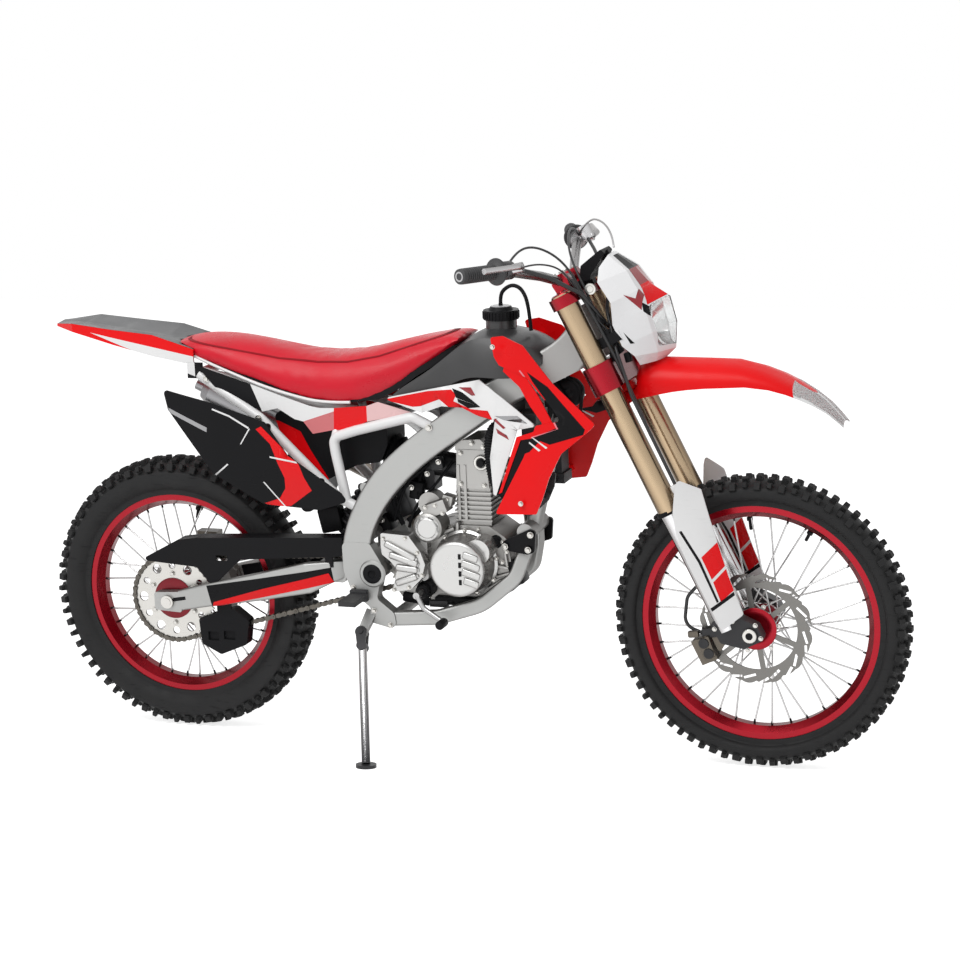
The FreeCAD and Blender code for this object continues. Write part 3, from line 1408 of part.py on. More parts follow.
def chassis_parts():
    return {
        "frame": frame_core(),
        "swingarm_pivot": swingarm_pivot(),
        "subframe": subframe_core(),
        "engine_case": engine_case(),
        "engine_covers": engine_covers(),
        "front_sprocket": front_sprocket(),
        "cylinder_head": cylinder_head(),
        "carburettor": carburettor(),
        "airbox": airbox(),
        "shock": shock(),
        "exhaust_header": exhaust_header(),
        "silencer": silencer(),
        "radiators": radiators(),
        "coolant_hoses": coolant_hoses(),
        "engine_mounts": engine_mounts(),
        "seat": seat_space(),
        "fuel_tank": fuel_tank(),
        "tank_cap": tank_cap(),
        "vent_hose": vent_hose(),
        "rear_fender": rear_fender(),
        "side_panels": side_panels(),
        "shrouds": shrouds(),
        "side_covers": side_covers(),
        "swingarm": swingarm_core(),
        "rear_axle": rear_axle_bar(),
        "chain": Part.makeCompound(chain()),
        "chain_guards": chain_guards(),
        "rear_caliper": rear_caliper(),
        "foot_controls": foot_controls(),
    }


def main():
    os.makedirs("parts", exist_ok=True)
    parts = {}
    parts.update(chassis_parts())
    parts.update(steering_parts())
    parts.update(wheel_parts())
    parts["side_stand"] = side_stand()
    leaned = {name: placed(shape, V(0, 0, 0)) for name, shape in parts.items()}
    whole = FreeCAD.BoundBox()
    for shape in leaned.values():
        whole.add(shape.optimalBoundingBox(True, False))
    drop = V(-(whole.XMin + whole.XMax) / 2, -(whole.YMin + whole.YMax) / 2, -whole.ZMin)
    print("origin shift", round(drop.x, 3), round(drop.y, 3), round(drop.z, 3))
    for name, shape in leaned.items():
        shape.translate(drop)
        shape.exportStep("parts/" + name + ".step")


main()
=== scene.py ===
import bpy
import json
import math
from mathutils import Matrix, Vector


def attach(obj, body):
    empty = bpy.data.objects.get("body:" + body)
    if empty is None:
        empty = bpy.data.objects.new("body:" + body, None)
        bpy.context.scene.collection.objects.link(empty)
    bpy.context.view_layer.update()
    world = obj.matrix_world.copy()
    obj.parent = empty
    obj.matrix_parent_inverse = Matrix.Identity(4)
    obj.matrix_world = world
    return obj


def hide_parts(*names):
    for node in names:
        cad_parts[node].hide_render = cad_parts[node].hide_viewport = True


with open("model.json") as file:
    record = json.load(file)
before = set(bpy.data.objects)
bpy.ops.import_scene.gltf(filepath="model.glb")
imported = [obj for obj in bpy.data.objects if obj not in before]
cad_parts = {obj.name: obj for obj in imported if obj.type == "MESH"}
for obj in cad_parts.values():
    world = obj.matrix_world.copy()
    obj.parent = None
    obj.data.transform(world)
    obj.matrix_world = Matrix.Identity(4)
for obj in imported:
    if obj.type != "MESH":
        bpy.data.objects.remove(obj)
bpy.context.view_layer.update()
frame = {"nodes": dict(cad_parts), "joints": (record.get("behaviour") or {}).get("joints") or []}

# Camera
# The photograph's place: ahead of the machine's side, a little above axle height, with a long lens.
photo_width = 960
turn = math.radians(19.60)
rise = math.radians(6.86)
aim = Vector((-0.00139, 0.14479, 0.55))
distance = 5.80
back = Vector((math.sin(turn) * math.cos(rise), -math.cos(turn) * math.cos(rise), math.sin(rise)))
lens = bpy.data.cameras.new("camera")
lens.sensor_width = 36
lens.lens = 90.97
lens.shift_x = 11.2 / photo_width
lens.shift_y = 36 / photo_width
camera = bpy.data.objects.new("camera", lens)
bpy.context.scene.collection.objects.link(camera)
camera.location = aim + back * distance
camera.rotation_euler = back.to_track_quat("Z", "Y").to_euler()
bpy.context.scene.camera = camera
bpy.context.scene.view_settings.view_transform = "Standard"

# Studio
# A white floor and white surroundings, with one large soft lamp over the machine's near side.
# What the eye, a mirror or glass sees of the room is plain white; the light itself stays moderate.
bpy.ops.mesh.primitive_plane_add(size=60)
floor = bpy.context.active_object
floor.name = "floor"


def seen_directly(tree):
    """1 for camera, glossy and transmission rays, 0 for the light that falls on the object."""
    path = tree.nodes.new("ShaderNodeLightPath")
    total = path.outputs["Is Camera Ray"]
    for ray in ("Is Glossy Ray", "Is Transmission Ray"):
        add = tree.nodes.new("ShaderNodeMath")
        add.operation = "MAXIMUM"
        tree.links.new(total, add.inputs[0])
        tree.links.new(path.outputs[ray], add.inputs[1])
        total = add.outputs[0]
    return total


floor_finish = bpy.data.materials.new("studio floor")
floor_finish.use_nodes = True
tree = floor_finish.node_tree
shader = tree.nodes["Principled BSDF"]
shader.inputs["Base Color"].default_value = (0.82, 0.82, 0.82, 1)
shader.inputs["Roughness"].default_value = 1.0
shader.inputs["Specular IOR Level"].default_value = 0.0
shader.inputs["Emission Color"].default_value = (1, 1, 1, 1)
glow = tree.nodes.new("ShaderNodeMath")
glow.operation = "MULTIPLY"
glow.inputs[1].default_value = 0.75
tree.links.new(seen_directly(tree), glow.inputs[0])
tree.links.new(glow.outputs[0], shader.inputs["Emission Strength"])
floor.data.materials.append(floor_finish)

world = bpy.data.worlds.new("studio")
bpy.context.scene.world = world
world.use_nodes = True
tree = world.node_tree
sky = tree.nodes["Background"]
sky.inputs["Color"].default_value = (1, 1, 1, 1)
level = tree.nodes.new("ShaderNodeMapRange")
level.inputs["To Min"].default_value = 0.56
level.inputs["To Max"].default_value = 1.0
tree.links.new(seen_directly(tree), level.inputs["Value"])
tree.links.new(level.outputs["Result"], sky.inputs["Strength"])

key = bpy.data.lights.new("soft key", "AREA")
key.shape = "RECTANGLE"
key.size = 3.0
key.size_y = 2.0
key.energy = 84
key_lamp = bpy.data.objects.new("soft key", key)
bpy.context.scene.collection.objects.link(key_lamp)
key_lamp.location = (-0.9, -2.6, 3.4)
key_lamp.rotation_euler = (Vector((0, 0.1, 0.6)) - key_lamp.location).to_track_quat("-Z", "Y").to_euler()

# Frame and swingarm pivot
# Twin cast and forged alloy spars welded to the steering head and cradle, with a clear satin coat.
# The pivot is a steel axle with black caps through the plates behind the engine.


def socket_list(group, way, items):
    """Adds named inputs or outputs to a node group."""
    for name, kind, value in items:
        socket = group.interface.new_socket(name=name, in_out=way, socket_type="NodeSocket" + kind)
        if value is not None:
            socket.default_value = value


def build_worn_surface():
    """Patches of tone, fine grain and handling marks over any finish."""
    group = bpy.data.node_groups.new("worn surface", "ShaderNodeTree")
    socket_list(group, "INPUT", [
        ("Colour", "Color", (0.5, 0.5, 0.5, 1)), ("Tone", "Float", 0.08), ("Patch Scale", "Float", 9.0),
        ("Roughness", "Float", 0.4), ("Roughness Spread", "Float", 0.12), ("Grain Scale", "Float", 900.0),
        ("Grain Depth", "Float", 0.12), ("Grain Stretch", "Vector", (1, 1, 1)), ("Marks", "Float", 0.06)])
    socket_list(group, "OUTPUT", [("Colour", "Color", None), ("Roughness", "Float", None),
                                  ("Normal", "Vector", None)])
    link = group.links.new
    inside = group.nodes.new("NodeGroupInput").outputs
    outside = group.nodes.new("NodeGroupOutput").inputs
    place = group.nodes.new("ShaderNodeTexCoord").outputs["Object"]

    def step(kind, result, operation=None, **values):
        """A node with some inputs set and others linked; gives one of its outputs."""
        node = group.nodes.new("ShaderNode" + kind)
        if operation:
            node.operation = operation
        for label, value in values.items():
            target = node.inputs[int(label[1:]) if label[0] == "_" else label.replace("_", " ").title()]
            if isinstance(value, bpy.types.NodeSocket):
                link(value, target)
            else:
                target.default_value = value
        return node.outputs[result]

    patches = step("TexNoise", "Fac", detail=4.0, scale=inside["Patch Scale"], vector=place)
    centred = step("MapRange", "Result", from_min=0.3, from_max=0.7, to_min=-1.0, value=patches)
    stretched = step("VectorMath", 0, "MULTIPLY", _0=place, _1=inside["Grain Stretch"])
    grain = step("TexNoise", "Fac", detail=2.0, scale=inside["Grain Scale"], vector=stretched)
    streaks = step("VectorMath", 0, "MULTIPLY", _0=place, _1=(30.0, 30.0, 210.0))
    rubbed = step("TexNoise", "Fac", detail=5.0, scale=1.0, vector=streaks)
    sharpened = step("MapRange", "Result", from_min=0.6, from_max=0.72, value=rubbed)
    marks = step("Math", 0, "MULTIPLY", _0=sharpened, _1=inside["Marks"])
    tone = step("Math", 0, "ADD", _0=1.0, _1=step("Math", 0, "MULTIPLY", _0=centred, _1=inside["Tone"]))
    tone = step("Math", 0, "SUBTRACT", _0=tone, _1=step("Math", 0, "MULTIPLY", _0=marks, _1=0.35))
    link(step("HueSaturation", "Color", color=inside["Colour"], value=tone), outside["Colour"])
    spread = step("Math", 0, "MULTIPLY", _0=centred, _1=inside["Roughness Spread"])
    rough = step("Math", 0, "ADD", _0=inside["Roughness"], _1=spread)
    link(step("Math", 0, "ADD", _0=rough, _1=marks), outside["Roughness"])
    bump = step("Bump", "Normal", distance=0.0004, strength=inside["Grain Depth"], height=grain)
    link(bump, outside["Normal"])
    return group


worn_surface = build_worn_surface()


# edge sets how far in from the grazing edges the painted rim shade of metals reaches.
def finish(name, colour, roughness, metallic=0.0, coat=0.0, shine=0.5, edge=0.55, slot=None, **values):
    """A material for one of the machine's finishes. The slot argument is not used."""
    material = bpy.data.materials.new(name)
    material.use_nodes = True
    material.diffuse_color = (*colour, 1)
    tree = material.node_tree
    shader = tree.nodes["Principled BSDF"]
    shader.inputs["Metallic"].default_value = metallic
    shader.inputs["Coat Weight"].default_value = coat
    shader.inputs["Coat Roughness"].default_value = 0.08
    shader.inputs["Specular IOR Level"].default_value = shine
    surface = tree.nodes.new("ShaderNodeGroup")
    surface.node_tree = worn_surface
    surface.inputs["Colour"].default_value = (*colour, 1)
    surface.inputs["Roughness"].default_value = roughness
    for label, value in values.items():
        surface.inputs[label.replace("_", " ").title()].default_value = value
    shown = surface.outputs["Colour"]
    # Metals get painted shade: their colour is mixed towards a dark copy as the surface turns edge-on to the
    # view, a painted reflection of dark surroundings.
    if metallic > 0.5:
        facing = tree.nodes.new("ShaderNodeLayerWeight")
        facing.inputs["Blend"].default_value = edge
        painted_rim_shade = tree.nodes.new("ShaderNodeMix")
        painted_rim_shade.data_type = "RGBA"
        tree.links.new(facing.outputs["Facing"], painted_rim_shade.inputs[0])
        tree.links.new(shown, painted_rim_shade.inputs[6])
        # The dark copy of the colour that the painted rim shade blends to.
        painted_rim_shade.inputs[7].default_value = (colour[0] * 0.18, colour[1] * 0.16, colour[2] * 0.15, 1)
        shown = painted_rim_shade.outputs[2]
    tree.links.new(shown, shader.inputs["Base Color"])
    tree.links.new(surface.outputs["Roughness"], shader.inputs["Roughness"])
    tree.links.new(surface.outputs["Normal"], shader.inputs["Normal"])
    return material


def dress(material, *nodes):
    """Gives nodes of the frame their finish."""
    for node in nodes:
        mesh = frame["nodes"][node].data
        mesh.materials.clear()
        mesh.materials.append(material)


satin_alloy = finish("satin alloy", (0.47, 0.475, 0.465), 0.42, 0.55, slot="frame_silver", tone=0.05,
                     grain_scale=420.0, grain_depth=0.1)
black_satin = finish("black satin", (0.007, 0.007, 0.008), 0.42, shine=0.12, slot="black_plastic", tone=0.3,
                     grain_depth=0.15)
dress(satin_alloy, "frame")
dress(black_satin, "swingarm_pivot")

joints = {joint["name"]: joint for joint in frame["joints"]}
side_way = Vector(joints["rear_wheel_spin"]["axis"]).normalized()
near_way = -side_way
up_way = Vector((1, 0, 0)).cross(side_way)
rear_axle = Vector(joints["rear_wheel_spin"]["pos_m"])
front_axle = Vector(joints["front_wheel_spin"]["pos_m"])
head_foot = Vector(joints["steering_turn"]["pos_m"])
steer_up = Vector(joints["steering_turn"]["axis"]).normalized()
steer_ahead = side_way.cross(steer_up)
upright = Matrix((Vector((1, 0, 0)), side_way, up_way)).transposed()
along_head = Matrix((steer_ahead, side_way, steer_up)).transposed()
axle_height = 0.343556
axle_back = 0.726058
sides = ((-1, "near"), (1, "far"))


def spot(x, y, z):
    """Millimetres on the upright machine, set on the leaned one."""
    ahead = Vector((x / 1000 + axle_back, 0, 0))
    return rear_axle + ahead + side_way * (y / 1000) + up_way * (z / 1000 - axle_height)


def fork_spot(f, y, t):
    """Millimetres ahead of, beside and up the steering head."""
    return head_foot + (steer_ahead * f + side_way * y + steer_up * t) / 1000


def alone(piece=None):
    """Leaves no mesh open and nothing selected but the piece."""
    if bpy.context.mode != "OBJECT":
        bpy.ops.object.mode_set(mode="OBJECT")
    bpy.ops.object.select_all(action="DESELECT")
    if piece:
        piece.select_set(True)
        bpy.context.view_layer.objects.active = piece
    return piece


def worked(piece, *steps):
    """Opens a piece, takes each step with all of it selected, and closes it."""
    alone(piece)
    bpy.ops.object.mode_set(mode="EDIT")
    for step in steps:
        bpy.ops.mesh.select_all(action="SELECT")
        step()
    bpy.ops.object.mode_set(mode="OBJECT")
    return piece


def softening(edge, segments=1):
    """A step that rounds every edge."""
    return lambda: bpy.ops.mesh.bevel(offset=edge, segments=segments)


def settle(piece, name, material, body="chassis", angle=35):
    """Names a finished piece, puts its place into its mesh, and fixes it to its body."""
    alone(piece)
    bpy.ops.object.transform_apply(location=True, rotation=True, scale=True)
    piece.name = name
    piece.data.materials.clear()
    piece.data.materials.append(material)
    bpy.ops.object.shade_smooth_by_angle(angle=math.radians(angle))
    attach(piece, body)
    return piece


def joined(pieces):
    """Pieces of one group made one mesh."""
    alone()
    for piece in pieces:
        piece.select_set(True)
    bpy.context.view_layer.objects.active = pieces[0]
    if len(pieces) > 1:
        bpy.ops.object.join()
    return bpy.context.view_layer.objects.active


def stood(piece, at, way):
    """Moves a piece made at the origin to its place, with its height along a direction."""
    turn_to = Vector(way).to_track_quat("Z", "Y").to_matrix().to_4x4()
    piece.data.transform(Matrix.Translation(at) @ turn_to)
    return piece


def bolt(at, way, radius, height):
    """A flanged hexagon head."""
    pieces = []
    for corners, wide, tall, middle, edge, segments in (
            (6, radius, height * 0.8, height * 0.6, radius * 0.12, 2),
            (24, radius * 1.35, height * 0.25, height * 0.125, height * 0.06, 1)):
        alone()
        bpy.ops.mesh.primitive_cylinder_add(vertices=corners, radius=wide, depth=tall,
                                            location=(0, 0, middle))
        piece = worked(bpy.context.active_object, softening(edge, segments))
        piece.data.transform(Matrix.Translation(piece.location))
        piece.location = (0, 0, 0)
        pieces.append(piece)
    return stood(joined(pieces), at, way)


bright_steel = finish("bright steel", (0.62, 0.61, 0.58), 0.24, 1.0, slot="steel", tone=0.06,
                      grain_scale=1500.0)


def bolts(name, places, radius, height, way=near_way, body="chassis"):
    """Bright bolts of one size, in millimetres, that all face one way."""
    return settle(joined([bolt(at, way, radius / 1000, height / 1000) for at in places]), name,
                  bright_steel, body)


bolts("frame_bolts", [spot(x, -128.2, z) for x, z in ((-226, 410), (-176, 356), (-137, 322))], 5, 6)

# Subframe
# Aluminium rails with a white painted coat, bolted to the spars and carrying the seat.
# Four silver bolts hold the side panels and the covers to the rails.
dress(finish("white paint", (0.80, 0.80, 0.80), 0.34, coat=0.25, tone=0.03, patch_scale=6.0, marks=0.08),
      "subframe")
rail_places = ((-588, -99, 897), (-449, -119, 808), (-252, -119, 617), (-24, -112, 797))
bolts("rail_bolts", [spot(*place) for place in rail_places], 6.5, 7)

# Engine
# A water-cooled single in sand-cast aluminium with machined, ribbed covers held by rows of screws.
# The barrel leans forward a little; the screws, the plugs and the sensor block are fitted after casting.
cast_silver = finish("cast silver", (0.46, 0.455, 0.44), 0.40, 0.72, slot="engine_silver", tone=0.09,
                     grain_scale=700.0, grain_depth=0.4)
cover_silver = finish("cover silver", (0.62, 0.62, 0.61), 0.30, 0.7, slot="engine_silver", tone=0.06,
                      grain_scale=900.0, grain_depth=0.22)
dress(cast_silver, "engine_case", "cylinder_head")
dress(cover_silver, "engine_covers")
dress(black_satin, "engine_mounts")


def around(x, z, radius, count, first=0.0):
    """Places on a circle seen from the side, in millimetres."""
    angles = [math.radians(first + i * 360 / count) for i in range(count)]
    return [(x + radius * math.cos(a), z + radius * math.sin(a)) for a in angles]


cover_screws = [spot(x, -75, z) for x, z in around(40, 470, 76.5, 9, 10)]
cover_screws += [spot(x, -121.5, z) for x, z in ((-147, 531), (-92, 534), (-63, 500), (-53, 446), (-88, 415),
                                                 (-125, 408))]
cover_screws += [spot(x, -62, z) for x, z in ((-100, 528), (0, 548), (70, 548), (128, 520), (138, 462),
                                              (100, 402), (15, 382), (-60, 378))]
bolts("cover_screws", cover_screws, 4.2, 6)
bolts("clutch_screws", [spot(x, 104, z) for x, z in around(-30, 462, 78, 10, 18)], 4.2, 6, side_way)
bolts("plate_bolts", [spot(x, -76, z) for x, z in ((138, 513), (201, 543), (194, 507))], 5.8, 6)
head_places = ((32, 728), (60, 752), (88, 744), (30, 655), (88, 652))
bolts("head_bolts", [spot(x, -60, z) for x, z in head_places], 4.5, 6)


def shown(name, data):
    """Puts new data in the scene as an object, alone and active."""
    piece = bpy.data.objects.new(name, data)
    bpy.context.scene.collection.objects.link(piece)
    return alone(piece)


def drawn(name, points, edges=(), faces=()):
    """A piece drawn point by point."""
    mesh = bpy.data.meshes.new(name)
    mesh.from_pydata(points, edges, faces)
    return shown(name, mesh)


def face_out():
    """A step that turns every face outwards."""
    bpy.ops.mesh.normals_make_consistent(inside=False)


def spinning(steps, axis):
    """A step that sweeps a profile right round an axis."""
    return lambda: bpy.ops.mesh.spin(steps=steps, angle=2 * math.pi, center=(0, 0, 0), axis=axis)


def repeating(count, axis):
    """A step that sets copies of a piece evenly round an axis."""
    round_to_last = 2 * math.pi * (count - 1) / count
    return lambda: bpy.ops.mesh.spin(steps=count - 1, dupli=True, angle=round_to_last, center=(0, 0, 0),
                                     axis=axis)


def merging(gap):
    """A step that joins points closer than a gap."""
    return lambda: bpy.ops.mesh.remove_doubles(threshold=gap)


def turned(profile, at, way, steps=48):
    """A lathe-turned piece: (radius, height) points in millimetres spun about a line."""
    points = [(r / 1000, 0, h / 1000) for r, h in profile]
    piece = drawn("turned", points, [(i, i + 1) for i in range(len(profile) - 1)])
    worked(piece, spinning(steps, (0, 0, 1)), merging(0.000005), face_out)
    return stood(piece, at, way)


def lathe(name, profile, at, material, way=near_way, body="chassis", steps=48):
    """One turned piece, finished and fixed."""
    return settle(turned(profile, at, way, steps), name, material, body)


def swept(name, line, radius, material, body="chassis", bend=3):
    """A round length of hose, wire or trim along its places, as a mesh; the radius in millimetres."""
    curve = bpy.data.curves.new(name, "CURVE")
    curve.dimensions = "3D"
    curve.resolution_u = 8
    curve.bevel_depth = radius / 1000
    curve.bevel_resolution = bend
    curve.use_fill_caps = True
    spline = curve.splines.new("NURBS")
    spline.points.add(len(line) - 1)
    for place, point in zip(spline.points, line):
        place.co = (*point, 1)
    spline.order_u = 3
    spline.use_endpoint_u = True
    shown(name, curve)
    bpy.ops.object.convert(target="MESH")
    return settle(bpy.context.active_object, name, material, body, 60)


def block(name, centre, size, edge, material, at=spot, turn_by=0.0, segments=2):
    """A box with rounded edges, in millimetres, square to the machine or to the steering head."""
    alone()
    bpy.ops.mesh.primitive_cube_add(size=1)
    piece = bpy.context.active_object
    piece.scale = [s / 1000 for s in size]
    bpy.ops.object.transform_apply(location=False, rotation=False, scale=True)
    worked(piece, softening(edge / 1000, segments))
    axes = upright if at is spot else along_head
    turned_by = Matrix.Rotation(math.radians(turn_by), 3, "Y")
    piece.data.transform(Matrix.Translation(at(*centre)) @ (axes @ turned_by).to_4x4())
    return settle(piece, name, material, "chassis" if at is spot else "steering")


black_rubber = finish("black rubber", (0.007, 0.007, 0.008), 0.62, shine=0.14, slot="rubber", tone=0.25,
                      grain_depth=0.3)
dark_cast = finish("dark casting", (0.03, 0.03, 0.032), 0.45, 0.5, slot="black_plastic", tone=0.2,
                   grain_depth=0.35)
lathe("head_plug", [(0, 9.5), (8.5, 9), (9.8, 7), (9.8, 0)], spot(83, -64, 707), black_satin)
lathe("head_plug_ring", [(10.5, 0), (10.5, 2), (12.5, 3.2), (16.5, 3.2), (18, 1.5), (18, -3)],
      spot(83, -64, 707), bright_steel)
lathe("starter_cap", [(0, 1.5), (22, 1.5), (24, 0), (29, 0), (29.5, 1.5), (31, 0), (31, -2)],
      spot(-40, -112, 557), cover_silver)
lathe("pivot_plug", [(0, 4), (9, 4), (10, 6.2), (20, 6.2), (22.5, 4), (22.5, 0)], spot(-175, -129, 446),
      black_satin)
lathe("filler_plug", [(0, 7), (10, 7), (11, 6), (11, 2), (16, 1), (16, 0)], spot(112, -62, 520), black_satin)
for i, long in enumerate((38, 46, 46, 38)):
    height = 502 - 20.5 * i
    block("cover_vane_%d" % i, (77, -147.6, height), (long, 8, 17), 3.9, cover_silver, turn_by=17,
          segments=3)
    block("cover_slot_%d" % i, (50, -146.4, height), (7, 2, 13), 0.9, black_satin)
fans = ((-105, 503, 26, 84), (-97, 483, 17, 74), (-90, 461, 5, 56), (-92, 434, -20, 58))
for i, (x, z, turn_by, long) in enumerate(fans):
    block("fan_rib_%d" % i, (x, -125, z), (long, 12, 17), 5.9, cover_silver, turn_by=turn_by, segments=3)
lathe("pivot_ring", [(23.5, 0), (23.5, 4), (29.5, 4), (33, 0)], spot(-175, -128.8, 446), satin_alloy)
lathe("shift_boss", [(0, 52), (14, 52), (16.5, 49), (16.5, 30), (21, 28), (21, 0)], spot(-60, -62, 403),
      black_satin)
sumps = (((26, -42, 374), (136, 76, 20), 0), ((118, -44, 400), (76, 64, 24), -30),
         ((-92, -40, 372), (70, 60, 24), 8), ((156, -40, 446), (26, 50, 60), -20))
for i, (centre, size, turn_by) in enumerate(sumps):
    block("sump_%d" % i, centre, size, 5, black_satin, turn_by=turn_by)
ribs = (((121, -66, 462), (44, 12, 8), 10), ((124, -66, 440), (46, 12, 8), -16),
        ((136, -67, 488), (8, 12, 46), -8), ((108, -66, 418), (40, 14, 8), -34),
        ((-12, -70, 540), (56, 16, 9), -22), ((20, -66, 548), (9, 14, 34), 0),
        ((-22, -84, 602), (58, 44, 32), -20), ((2, -70, 618), (26, 30, 26), 14))
for i, (centre, size, turn_by) in enumerate(ribs):
    block("case_rib_%d" % i, centre, size, 3.2, cast_silver, turn_by=turn_by)
starter_places = ((-44, -106, 606), (-2, -106, 594), (-20, -106, 612), (4, -85, 622), (128, -72, 474),
                  (112, -73, 410), (140, -73, 500))
bolts("starter_bolts", [spot(*place) for place in starter_places], 4.2, 5)
block("sensor_block", (-29, -80, 368), (46, 14, 16), 2, dark_cast)
block("sensor_plug", (-2, -78, 372), (16, 10, 10), 2, black_satin)

# Carburettor, airbox, shock and exhaust
# The carburettor is a zinc casting on rubber boots; the airbox is a matt black moulding with a flap.
# The shock has a dark coil over a steel body, and the exhaust is a steel pipe into an aluminium can.
matt_black = finish("matt black plastic", (0.007, 0.007, 0.008), 0.5, shine=0.12, slot="black_plastic",
                    tone=0.22, grain_scale=1600.0, grain_depth=0.35)
dress(dark_cast, "carburettor", "shock")
dress(matt_black, "airbox")
dress(finish("heated steel", (0.34, 0.30, 0.26), 0.34, 0.9, tone=0.2, patch_scale=14.0), "exhaust_header")
dress(finish("brushed can", (0.34, 0.34, 0.35), 0.34, 0.9, grain_stretch=(0.06, 1, 1), grain_depth=0.3),
      "silencer")
spring_foot = spot(-306, 0, 482)
spring_way = (spot(-196, 0, 646) - spring_foot).normalized()
spring_out = spring_way.cross(side_way).normalized()
spring_turns = 6.5
spring_steps = 84
spring_radius = 0.0335
coil = []
for i in range(spring_steps + 1):
    a = i / spring_steps * 2 * math.pi * spring_turns
    height = 0.040 + 0.118 * i / spring_steps
    out = side_way * math.cos(a) + spring_out * math.sin(a)
    coil.append(spring_foot + spring_way * height + out * spring_radius)
swept("shock_spring", coil, 4.8, dark_cast, bend=2)
engine_hoses = ((5.2, (-70, -20, 690), (-90, -48, 640), (-60, -56, 590), (-110, -50, 560)),
                (4.0, (-20, -34, 720), (-60, -60, 690), (-120, -60, 640), (-140, -58, 560)),
                (3.4, (0, -30, 700), (-30, -62, 650), (-88, -64, 600), (-104, -60, 545)),
                (6.0, (-60, 0, 760), (-100, -52, 720), (-130, -58, 650), (-150, -50, 600), (-120, -56, 550)),
                (4.5, (10, -20, 770), (-30, -50, 740), (-90, -40, 720), (-150, -52, 690)))
for i, (radius, *places) in enumerate(engine_hoses):
    swept("engine_hose_%d" % i, [spot(*place) for place in places], radius, black_rubber)
wiring_boxes = (((-122, -4, 672), (88, 52, 78), -18), ((-150, -6, 596), (66, 46, 84), -24),
                ((-86, -40, 632), (34, 26, 44), 10), ((-30, -52, 700), (34, 22, 30), -12),
                ((-176, -30, 545), (40, 40, 44), -30))
for i, (centre, size, turn_by) in enumerate(wiring_boxes):
    block("wiring_box_%d" % i, centre, size, 6, (matt_black, dark_cast)[i % 2], turn_by=turn_by)
clip_places = ((-120, -33, 690), (-96, -54, 640), (-150, -30, 610), (-52, -62, 676), (-22, -64, 706),
               (-176, -51, 556))
bolts("clutter_bolts", [spot(*place) for place in clip_places], 5, 6)
lathe("intake_boot", [(31, 0), (34, 4), (31, 8), (35, 14), (31, 20), (37, 26), (33, 32), (40, 40), (36, 46),
                      (44, 56)],
      spot(-104, 0, 698), black_rubber, spot(-168, 0, 722) - spot(-104, 0, 698))
block("mud_flap", (-316, -20, 548), (56, 40, 60), 5, matt_black, turn_by=-12)

# Radiators and hoses
# Brazed aluminium cores between black tanks, joined on the near side by a corrugated rubber hose.
# The fins are fine folded strip, and the hose is pushed over a spigot on each tank.
dress(finish("radiator black", (0.03, 0.03, 0.032), 0.5, 0.6, grain_stretch=(1, 1, 3), grain_scale=500.0,
             grain_depth=0.8, tone=0.3), "radiators")
hose_ring = 20
hose_wave = (15.2, 14.0, 12.6, 14.0)
hose_spacing = 0.00155
corner_ease = 0.035


def path_points(points, spacing):
    """Even places along a broken line with its corners eased, each with its direction."""
    eased = [points[0]]
    for before, corner, after in zip(points, points[1:], points[2:]):
        back_off = (before - corner).normalized() * min(corner_ease, (before - corner).length / 2.2)
        run_on = (after - corner).normalized() * min(corner_ease, (after - corner).length / 2.2)
        for k in range(7):
            t = k / 6
            bend = (corner + back_off) * (1 - t) ** 2 + corner * 2 * t * (1 - t)
            eased.append(bend + (corner + run_on) * t ** 2)
    eased.append(points[-1])
    places = []
    left = 0.0
    for a, b in zip(eased, eased[1:]):
        run = (b - a).length
        along = left
        while along < run:
            places.append((a + (b - a) * (along / run), (b - a).normalized()))
            along += spacing
        left = along - run
    return places


hose_line = ((199, -104, 828), (126, -104, 802), (120, -104, 735), (130, -104, 668), (158, -104, 640),
             (199, -104, 646))
stations = path_points([spot(*place) for place in hose_line], hose_spacing)
ring_points = []
for i, (at, along) in enumerate(stations):
    right = along.cross(side_way).normalized()
    for k in range(hose_ring):
        a = 2 * math.pi * k / hose_ring
        ring_points.append(at + (side_way * math.cos(a) + right * math.sin(a)) * (hose_wave[i % 4] / 1000))
hose_faces = [(i + k, i + (k + 1) % hose_ring, i + hose_ring + (k + 1) % hose_ring, i + hose_ring + k)
              for i in range(0, len(ring_points) - hose_ring, hose_ring) for k in range(hose_ring)]
hose_faces.append(tuple(range(hose_ring - 1, -1, -1)))
hose_faces.append(tuple(range(len(ring_points) - hose_ring, len(ring_points))))
hose = worked(drawn("ringed_hose", ring_points, faces=hose_faces), face_out)
settle(hose, "ringed_hose", black_rubber, angle=60)
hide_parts("coolant_hoses")

# Horn and its wiring
# A black disc horn on a bent steel strip behind the near radiator, with loose leads of the loom beside it.
# The strip is screwed to the spar, and the leads run on into the frame.
lathe("horn", [(0, 11), (8, 11), (12, 8), (24, 9), (33, 4), (35, 0), (34, -16), (18, -22), (0, -22)],
      spot(292, -34, 872), black_satin)
block("horn_bracket", (268, -26, 906), (16, 5, 70), 1.5, black_satin, turn_by=20)
horn_leads = (((236, -40, 936), (262, -46, 900), (300, -50, 850), (316, -50, 800)),
              ((250, -30, 930), (300, -44, 910), (330, -44, 880), (322, -46, 830)),
              ((240, -34, 900), (262, -60, 860), (270, -70, 820)))
for i, places in enumerate(horn_leads):
    swept("front_wiring_%d" % i, [spot(*place) for place in places], 4.2, black_rubber)

# Swingarm
# Two tapered aluminium box arms, satin like the frame; the axle sits in a slotted end with an adjuster bolt.
# A printed film lies along each outer side, black with a red wedge along its lower edge.
dress(satin_alloy, "swingarm")
dress(bright_steel, "rear_axle")
for s, side_name in sides:
    block("arm_slot_" + side_name, (-694, s * 111.2, 352), (34, 2, 9), 0.9, black_satin, turn_by=-10)
skins = {}


